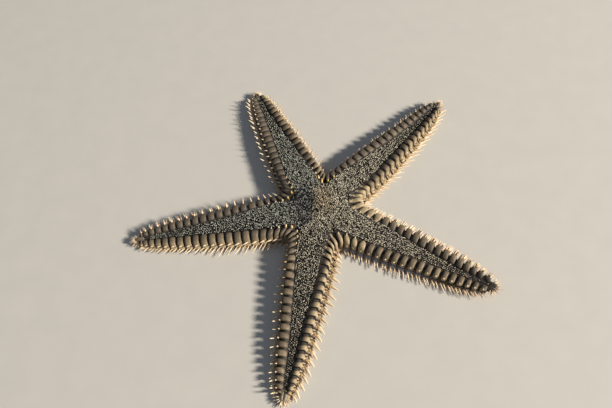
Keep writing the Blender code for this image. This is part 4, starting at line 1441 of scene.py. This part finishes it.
rng = seeded("paxillae")
groups = [("paxillae_disc", disc_places(rng) + DISC_CENTRE, math.radians(DISC_TURN), DISC_FIELD)]
for arm in ARMS:
    flat = arm_places(arm, rng)
    star = arm.to_star(np.column_stack((flat, np.zeros(len(flat)))))[:, :2]
    groups.append(("paxillae_" + arm.name, star, math.radians(arm.direction), FIELDS[arm.name]))
for name, spots, along, (dark, darker, cool, contrast) in groups:
    spots = thinned(spots)
    outward = np.linalg.norm(spots - DISC_CENTRE, axis=1)
    sizes = rng.uniform(0.86, 1.14, len(spots)) * np.interp(outward, *SMALLER_OUT)
    dark = dark + darker * np.clip((outward / AVERAGE_ARM - DARKER_FROM) / DARKER_FADE, 0, 1)
    print(len(spots), "places in", name)
    grow_paxillae(name, spots, sizes, along, dark, cool, contrast, rng)

# %% [markdown]
# ## The end of an arm
# One rounded plate closes each arm. It is dark, split by a shallow groove along its top, and it
# bears a small fan of spines. It starts as a ball, flattened and drawn out, with the groove pressed
# into it by moving its points.

# %% The end plates
# how pale each end plate is, how wide, and how much narrower at its point
ENDS = {"near": (0.5, 1.4, 0.12), "left": (0.35, 1.05, 0.4), "far_left": (0.25, 1.1, 0.35),
        "far_right": (0.05, 1.05, 0.4), "right": (0.0, 1.75, 0.1)}
END_HALF_HEIGHT, END_MIDDLE = 1.1, 1.27
NOTCH_DEPTH, NOTCH_WIDTH = 0.35, 0.3             # the groove along its top


def end_plate(arm):
    """A ball, flattened, grooved and narrowed, at the end of an arm."""
    paleness, wide, point = ENDS[arm.name]
    bm = bmesh.new()
    bmesh.ops.create_uvsphere(bm, u_segments=20, v_segments=14, radius=1)
    bmesh.ops.scale(bm, vec=(TIP_LENGTH, wide, END_HALF_HEIGHT), verts=bm.verts)
    for vert in bm.verts:
        top = max(0.0, vert.co.z)
        vert.co.z -= NOTCH_DEPTH * top * math.exp(-(vert.co.y / NOTCH_WIDTH) ** 2)
        vert.co.y *= 1 - point * max(0.0, vert.co.x) / TIP_LENGTH
    bmesh.ops.smooth_vert(bm, verts=bm.verts, factor=0.3, use_axis_x=True, use_axis_y=True,
                          use_axis_z=True)
    bmesh.ops.translate(bm, vec=(arm.length - TIP_LENGTH, 0, END_MIDDLE), verts=bm.verts)
    for vert in bm.verts:
        vert.co = arm.to_star(vert.co)
    mesh = smooth_mesh(bm, "end_plate_" + arm.name)
    bm.free()
    pale = mesh.attributes.new("pale", "FLOAT", "POINT")
    pale.data.foreach_set("value", [paleness] * len(mesh.vertices))
    show(mesh, END_PLATE, "tip", f"arm_{arm.name}_tip")


# %% The spines of an end plate
END_SPINES = 9                     # in each of three rows
END_SPINE_ROWS = ((1.0, 1.0), (0.6, 0.7), (1.7, 0.45))       # height, and share of the length
END_SPINE_LENGTH = 1.9
END_SPINE_LOWEST = 0.2
FAN_ANGLE = 78                     # degrees, to each side


def end_spines(arm, rng):
    """A fan of spines around an arm's end plate."""
    wide = ENDS[arm.name][1]
    batch = Batch()
    for k in range(END_SPINES):
        for height, length in END_SPINE_ROWS:
            across = -FAN_ANGLE + 2 * FAN_ANGLE * k / (END_SPINES - 1)
            angle = math.radians(across + rng.uniform(-6, 6))
            way = np.array((math.cos(angle), math.sin(angle), 0.25 * (height - 0.8)))
            rim = np.array((arm.length - TIP_LENGTH, 0, height))
            rim += way * (0.85 * TIP_LENGTH, wide, 0.2)
            tip = rim + way * END_SPINE_LENGTH * length * rng.uniform(0.85, 1.15)
            tip[2] = max(tip[2], END_SPINE_LOWEST)
            ends = arm.to_star(np.array((rim - way * 0.3, tip)))
            lay(batch, FINE_SPINE, ends[:1], ends[1:], 0.17, 0.14, None,
                tone=rng.uniform(-1, 1), warm=0.0)
    show(batch.mesh("end_spines_" + arm.name), SPINE, "tip")


for number, arm in enumerate(ARMS):
    end_plate(arm)
    end_spines(arm, seeded("ends", number))

# %% [markdown]
# ## The underside
# The groove below each arm is lined by small plates that carry two kinds of spines: slim ones that
# fold over the groove and guard the feet, and blunt ones outside them. The rim's plates bear
# scale-like spines that lie flat and point outwards.

# %% Spines beside the groove
GUARD_PITCH = 1.4                  # from one small plate beside the groove to the next
GUARD_LENGTH, OUTSIDE_LENGTH = 1.25, 1.1


def guards(arm, batch, rng):
    """Three spines over the groove and three outside it, for each small plate beside it."""
    for side in (-1, 1):
        x = MOUTH_RADIUS + 0.6
        while x < arm.length - TIP_LENGTH - 1.0:
            small = arm.furrow(x) / FURROW_HALF_WIDTH
            edge = arm.furrow(x) + 0.15
            for k in (-1, 0, 1):
                root = np.array((x + 0.4 * k, edge, 0.55))
                way = np.array((0.3 * k, -0.75, -0.12)) + rng.normal(0, 0.06, 3)
                ends = np.array((root, root + way * GUARD_LENGTH * small)) * (1, side, 1)
                lay(batch, SMALL_SPINE, *(p[None] for p in arm.to_star(ends)), 0.13 * small,
                    0.1 * small, None, tone=rng.uniform(-1, 1), warm=0.0)
                root = np.array((x + 0.42 * k, edge + 0.55 + 0.12 * abs(k), 0.5))
                way = np.array((0.25 * k + 0.15, 0.35, -0.2)) + rng.normal(0, 0.07, 3)
                ends = np.array((root, root + way * OUTSIDE_LENGTH * small)) * (1, side, 1)
                ends[:, 2] = np.maximum(ends[:, 2], 0.12)
                lay(batch, SMALL_SPINE, *(p[None] for p in arm.to_star(ends)), 0.16 * small,
                    0.12 * small, None, tone=rng.uniform(-1, 1), warm=0.15)
            x += GUARD_PITCH * (0.6 + 0.4 * small)


print("the groove's half width at the mouth:", round(ARMS[0].furrow(MOUTH_RADIUS), 2), "mm")

# %% Scales on the underside
SCALE_ROW = 0.85                   # from one row of scales to the next
SCALE_ROOT, SCALE_TIP = 0.2, 0.1   # the heights of a scale's two ends


def scales(arm, batch, rng):
    """Flat spines on the underside of the rim's plates."""
    for side in (-1, 1):
        grooves = grooves_of(arm, side)
        for (inner_a, outer_a), (inner_b, outer_b) in zip(grooves, grooves[1:]):
            middle = (outer_a + outer_b) / 2
            path = rim_path(arm, side, middle)
            deep = path[-1, 0]
            rows = max(1, int(deep / SCALE_ROW))
            for row in range(rows):
                inset = deep * (row + 0.6) / (rows + 0.4)
                for across in (0.22, 0.5, 0.78):
                    across += rng.uniform(-0.06, 0.06)
                    under = inset / deep
                    outer = outer_a + (outer_b - outer_a) * across
                    inner = inner_a + (inner_b - inner_a) * across
                    x = outer + (inner - outer) * under
                    y = min(arm.margin(side, outer), arm.wall(side, outer) - SHARED_WALL) - inset
                    way = np.array((0.1 + (outer - inner) / deep * 0.6, 0.8, -0.05))
                    root = np.array((x, y, SCALE_ROOT))
                    ends = np.array((root, root + way * rng.uniform(0.8, 1.05)))
                    ends[:, 2] = (SCALE_ROOT, SCALE_TIP)
                    ends = arm.to_star(ends * (1, side, 1))
                    lay(batch, SMALL_SPINE, ends[:1], ends[1:], 0.2, 0.08, None,
                        tone=rng.uniform(-1, 1), warm=0.0)


for number, arm in enumerate(ARMS):
    rng = seeded("underside", number)
    batch = Batch()
    guards(arm, batch, rng)
    scales(arm, batch, rng)
    show(batch.mesh("under_spines_" + arm.name), LITTLE_SPINE, "skin")

# %% [markdown]
# ## The feet and the mouth
# Two rows of pointed feet fill each groove, drawn in here as on a dry star. Five jaws, each a pair
# of narrow plates, point in at the mouth between the grooves and carry spines at their tips.

# %% The feet
FOOT_SHAPE = spine_shape(8, ((0.25, 1.05), (0.5, 0.8), (0.7, 0.85), (0.88, 0.4), (0.96, 0.2)))
FOOT_PITCH = 1.5


def feet(arm, batch, rng):
    """Two rows of feet that hang from the groove's roof."""
    x = MOUTH_RADIUS + 1.0
    while x < arm.length - TIP_LENGTH - 2:
        small = arm.furrow(x) / FURROW_HALF_WIDTH
        for side in (-1, 1):
            roof = FURROW_DEPTH * small
            root = np.array((x, 0.34 * arm.furrow(x), roof + 0.15))
            tip = np.array((x + rng.uniform(-0.3, 0.3), root[1] * rng.uniform(0.8, 1.6), 0.4))
            ends = arm.to_star(np.array((root, tip)) * (1, side, 1))
            lay(batch, FOOT_SHAPE, ends[:1], ends[1:], 0.42 * small, 0.42 * small,
                rng.normal(0, 0.08, (1, 3)), tone=rng.uniform(-1, 1), warm=0.0)
        x += FOOT_PITCH * (0.5 + 0.5 * small)


for number, arm in enumerate(ARMS):
    batch = Batch()
    feet(arm, batch, seeded("feet", number))
    show(batch.mesh("feet_" + arm.name), FOOT, "skin")

# %% The plates of a jaw
JAW_TIP, JAW_BACK = 2.3, 6.6       # how far from the centre a jaw begins and ends


def jaw_turn(index):
    """What moves a jaw from the X axis to its angle between two arms."""
    arm = ARMS[index]
    direction = arm.direction - math.degrees(arm.half[-1])
    return Matrix.Translation((*DISC_CENTRE, 0)) @ Matrix.Rotation(math.radians(direction), 4, "Z")


def jaw_plates(index):
    """Two narrow plates side by side, each a bar drawn to a point at the mouth."""
    bm = bmesh.new()
    for side in (-1, 1):
        made = bmesh.ops.create_cube(bm, size=1)["verts"]
        edges = list(dict.fromkeys(e for v in made for e in v.link_edges))
        along = [e for e in edges if abs((e.verts[0].co - e.verts[1].co).x) > 0.5]
        bmesh.ops.subdivide_edges(bm, edges=along, cuts=4, use_grid_fill=True)
        mine = [v for v in bm.verts if not v.tag]
        for vert in mine:
            vert.tag = True
            share = vert.co.x + 0.5
            half = (0.18 + 0.5 * share ** 0.8) * (1 - 0.3 * share ** 4)
            vert.co.x = JAW_TIP + (JAW_BACK - JAW_TIP) * share
            vert.co.y = side * (half + 0.05 + vert.co.y * 1.7 * half)
            vert.co.z = 1.1 + vert.co.z * (1.3 + 0.3 * math.sin(math.pi * share)) - 0.12 * share
    bmesh.ops.bevel(bm, geom=[e for e in bm.edges if e.calc_face_angle(0) > 0.8], offset=0.12,
                    segments=2, affect="EDGES", profile=0.5, material=-1)
    bmesh.ops.recalc_face_normals(bm, faces=bm.faces)
    bm.transform(jaw_turn(index))
    mesh = smooth_mesh(bm, f"mouth_plates_{index + 1}")
    bm.free()
    for name, value in (("reach", 0.2), ("tone", 0.0), ("warm", 0.0)):
        values = mesh.attributes.new(name, "FLOAT", "POINT")
        values.data.foreach_set("value", [value] * len(mesh.vertices))
    show(mesh, LITTLE_SPINE, "jaw", f"jaw_{index + 1}")


# %% The spines of a jaw
JAW_SPINES = 7                     # on each side
JAW_SPINE_ROOT, JAW_SPINE_TIP = 0.42, 0.16       # the heights of a spine's two ends
MOUTH_SCALE_PITCH = 0.8
MOUTH_SCALE_ROOT, MOUTH_SCALE_TIP = 0.34, 0.14
MOUTH_SCALE_END = 13.2             # how far from the centre the scales behind a jaw reach


def jaw_spines(index):
    """Spines along a jaw's two edges, and scales on the angle between two arms behind it."""
    turn, rng, batch = jaw_turn(index), seeded("jaws", index), Batch()
    for side in (-1, 1):
        for k in range(JAW_SPINES):
            x = JAW_TIP + 0.1 + 0.55 * k
            root = np.array((x, side * (0.2 + 0.13 * k), JAW_SPINE_ROOT))
            way = np.array((-0.85 + 0.16 * k, side * (0.25 + 0.1 * k), -0.2))
            way += rng.normal(0, 0.05, 3)
            ends = np.array((root, root + way * (1.5 - 0.08 * k)))
            ends[:, 2] = (JAW_SPINE_ROOT, JAW_SPINE_TIP)
            ends = np.array([turn @ Vector(p) for p in ends])
            lay(batch, SMALL_SPINE, ends[:1], ends[1:], 0.17, 0.13, None,
                tone=rng.uniform(-1, 1), warm=0.1)
    for x, y in honeycomb(14, 5, MOUTH_SCALE_PITCH):
        half = 0.3 + 0.28 * min(x - JAW_BACK + 0.8, 13.8 - x)
        if JAW_BACK - 0.8 < x < MOUTH_SCALE_END and abs(y) < half:
            root = np.array((x, y, MOUTH_SCALE_ROOT)) + rng.normal(0, 0.06, 3)
            ends = np.array((root, root + (0.75, 0.1 * y, -0.1) + rng.normal(0, 0.06, 3)))
            ends[:, 2] = (MOUTH_SCALE_ROOT, MOUTH_SCALE_TIP)
            ends = np.array([turn @ Vector(p) for p in ends])
            lay(batch, SMALL_SPINE, ends[:1], ends[1:], 0.19, 0.1, None,
                tone=rng.uniform(-1, 1), warm=0.0)
    show(batch.mesh(f"mouth_spines_{index + 1}"), LITTLE_SPINE, "jaw")


for index in range(len(ARMS)):
    jaw_plates(index)
    jaw_spines(index)

# %% [markdown]
# ## The sieve plate
# Water enters the star through a small grooved stone on its back, between two arms. Its grooves
# wind out from the middle. A fine disc is cut from a grid of rings, domed, and its points are
# pressed down along curved rays.

# %% The sieve plate
SIEVE_RADIUS = 1.1
SIEVE_PLACE = 7.5                  # how far from the disc's centre it is
SIEVE_DOME, SIEVE_GROOVE = 0.55, 0.12
SIEVE_SUNK = 0.75

x, y = from_centre(SIEVE_PLACE, math.radians(ARMS[2].direction) - ARMS[2].half[-1])
bm = bmesh.new()
bmesh.ops.create_uvsphere(bm, u_segments=72, v_segments=28, radius=1)
crest = []
for vert in bm.verts:
    radius = math.hypot(vert.co.x, vert.co.y)
    angle = math.atan2(vert.co.y, vert.co.x)
    ray = 0.5 + 0.5 * math.sin(12 * angle + 5 * math.sin(4 * radius) + 2 * math.sin(3 * angle))
    ray = ray * min(1.0, radius / 0.2) if vert.co.z > 0 else 0.5
    crest.append(ray)
    vert.co.z = vert.co.z * SIEVE_DOME + (SIEVE_GROOVE * (ray - 1) if vert.co.z > 0 else 0)
bmesh.ops.scale(bm, vec=(SIEVE_RADIUS, SIEVE_RADIUS, 1), verts=bm.verts)
bmesh.ops.translate(bm, vec=(x, y, disc_height(SIEVE_PLACE) - SIEVE_SUNK), verts=bm.verts)
mesh = smooth_mesh(bm, "sieve_stone")
bm.free()
mesh.attributes.new("crest", "FLOAT", "POINT").data.foreach_set("value", crest)
show(mesh, SIEVE, "sieve", "sieve_plate")

# %% [markdown]
# ## Floor, light and camera
# Low, warm sun comes from the right and cooler light fills the shadows. A soft lamp at the sun's
# place and a pale room give this relief. The camera has the photo's viewing angle: its place and
# tilt were worked out from the star's tips in the picture.

# %% The floor
FLOOR_HALF = 1.5                   # metres
bm = bmesh.new()
bmesh.ops.create_grid(bm, x_segments=2, y_segments=2, size=FLOOR_HALF)
floor_mesh = bpy.data.meshes.new("floor")
bm.to_mesh(floor_mesh)
bm.free()
floor = bpy.data.objects.new("floor", floor_mesh)
bpy.context.scene.collection.objects.link(floor)
floor_finish = Finish("pale floor", 0.8)
floor_mesh.materials.append(floor_finish.paint(floor_finish.blend(
    floor_finish.noise(8, 2), shade(174, 173, 170), shade(181, 180, 176))))
print("floor:", 2 * FLOOR_HALF, "m wide")

# %% The light
SUN_AZIMUTH = -20.0                # degrees from +X
SUN_ELEVATION = 28.0
SUN_DISTANCE, SUN_SIZE = 3.0, 0.4  # metres
SUN_POWER, SUN_COLOUR = 222.0, (1.0, 0.9, 0.76)
ROOM_COLOUR, ROOM_STRENGTH = (0.78, 0.86, 1.0, 1.0), 0.26

turn, rise = math.radians(SUN_AZIMUTH), math.radians(SUN_ELEVATION)
towards = Vector((math.cos(turn) * math.cos(rise), math.sin(turn) * math.cos(rise),
                  math.sin(rise)))
lamp = bpy.data.lights.new("key", "AREA")
lamp.shape, lamp.size, lamp.energy, lamp.color = "DISK", SUN_SIZE, SUN_POWER, SUN_COLOUR
key = bpy.data.objects.new("key", lamp)
bpy.context.scene.collection.objects.link(key)
key.location = towards * SUN_DISTANCE
key.rotation_euler = towards.to_track_quat("Z", "Y").to_euler()

room = bpy.data.worlds.new("room")
room.use_nodes = True
room.node_tree.nodes["Background"].inputs["Color"].default_value = ROOM_COLOUR
room.node_tree.nodes["Background"].inputs["Strength"].default_value = ROOM_STRENGTH
bpy.context.scene.world = room
bpy.context.scene.view_settings.view_transform = "Standard"
print("lamp at", [round(value, 2) for value in key.location])

# %% The camera
IMAGE_WIDTH = 612                  # the photo's frame, in pixels
FOCAL_PIXELS = 600.0
SENSOR = 36.0                      # millimetres
CAMERA_PLACE = (1.23, -103.6, 173.9)             # millimetres
CAMERA_PITCH = 57.43               # degrees below the level
CAMERA_ROLL = -5.848

lens = bpy.data.cameras.new("camera")
lens.sensor_width = SENSOR
lens.lens = SENSOR * FOCAL_PIXELS / IMAGE_WIDTH
lens.clip_start = 0.005
camera = bpy.data.objects.new("camera", lens)
bpy.context.scene.collection.objects.link(camera)
camera.location = Vector(CAMERA_PLACE) * MM
tilt = Matrix.Rotation(math.radians(90 - CAMERA_PITCH), 4, "X")
camera.rotation_euler = (tilt @ Matrix.Rotation(math.radians(CAMERA_ROLL), 4, "Z")).to_euler()
bpy.context.scene.camera = camera
print("lens:", round(lens.lens, 1), "mm")
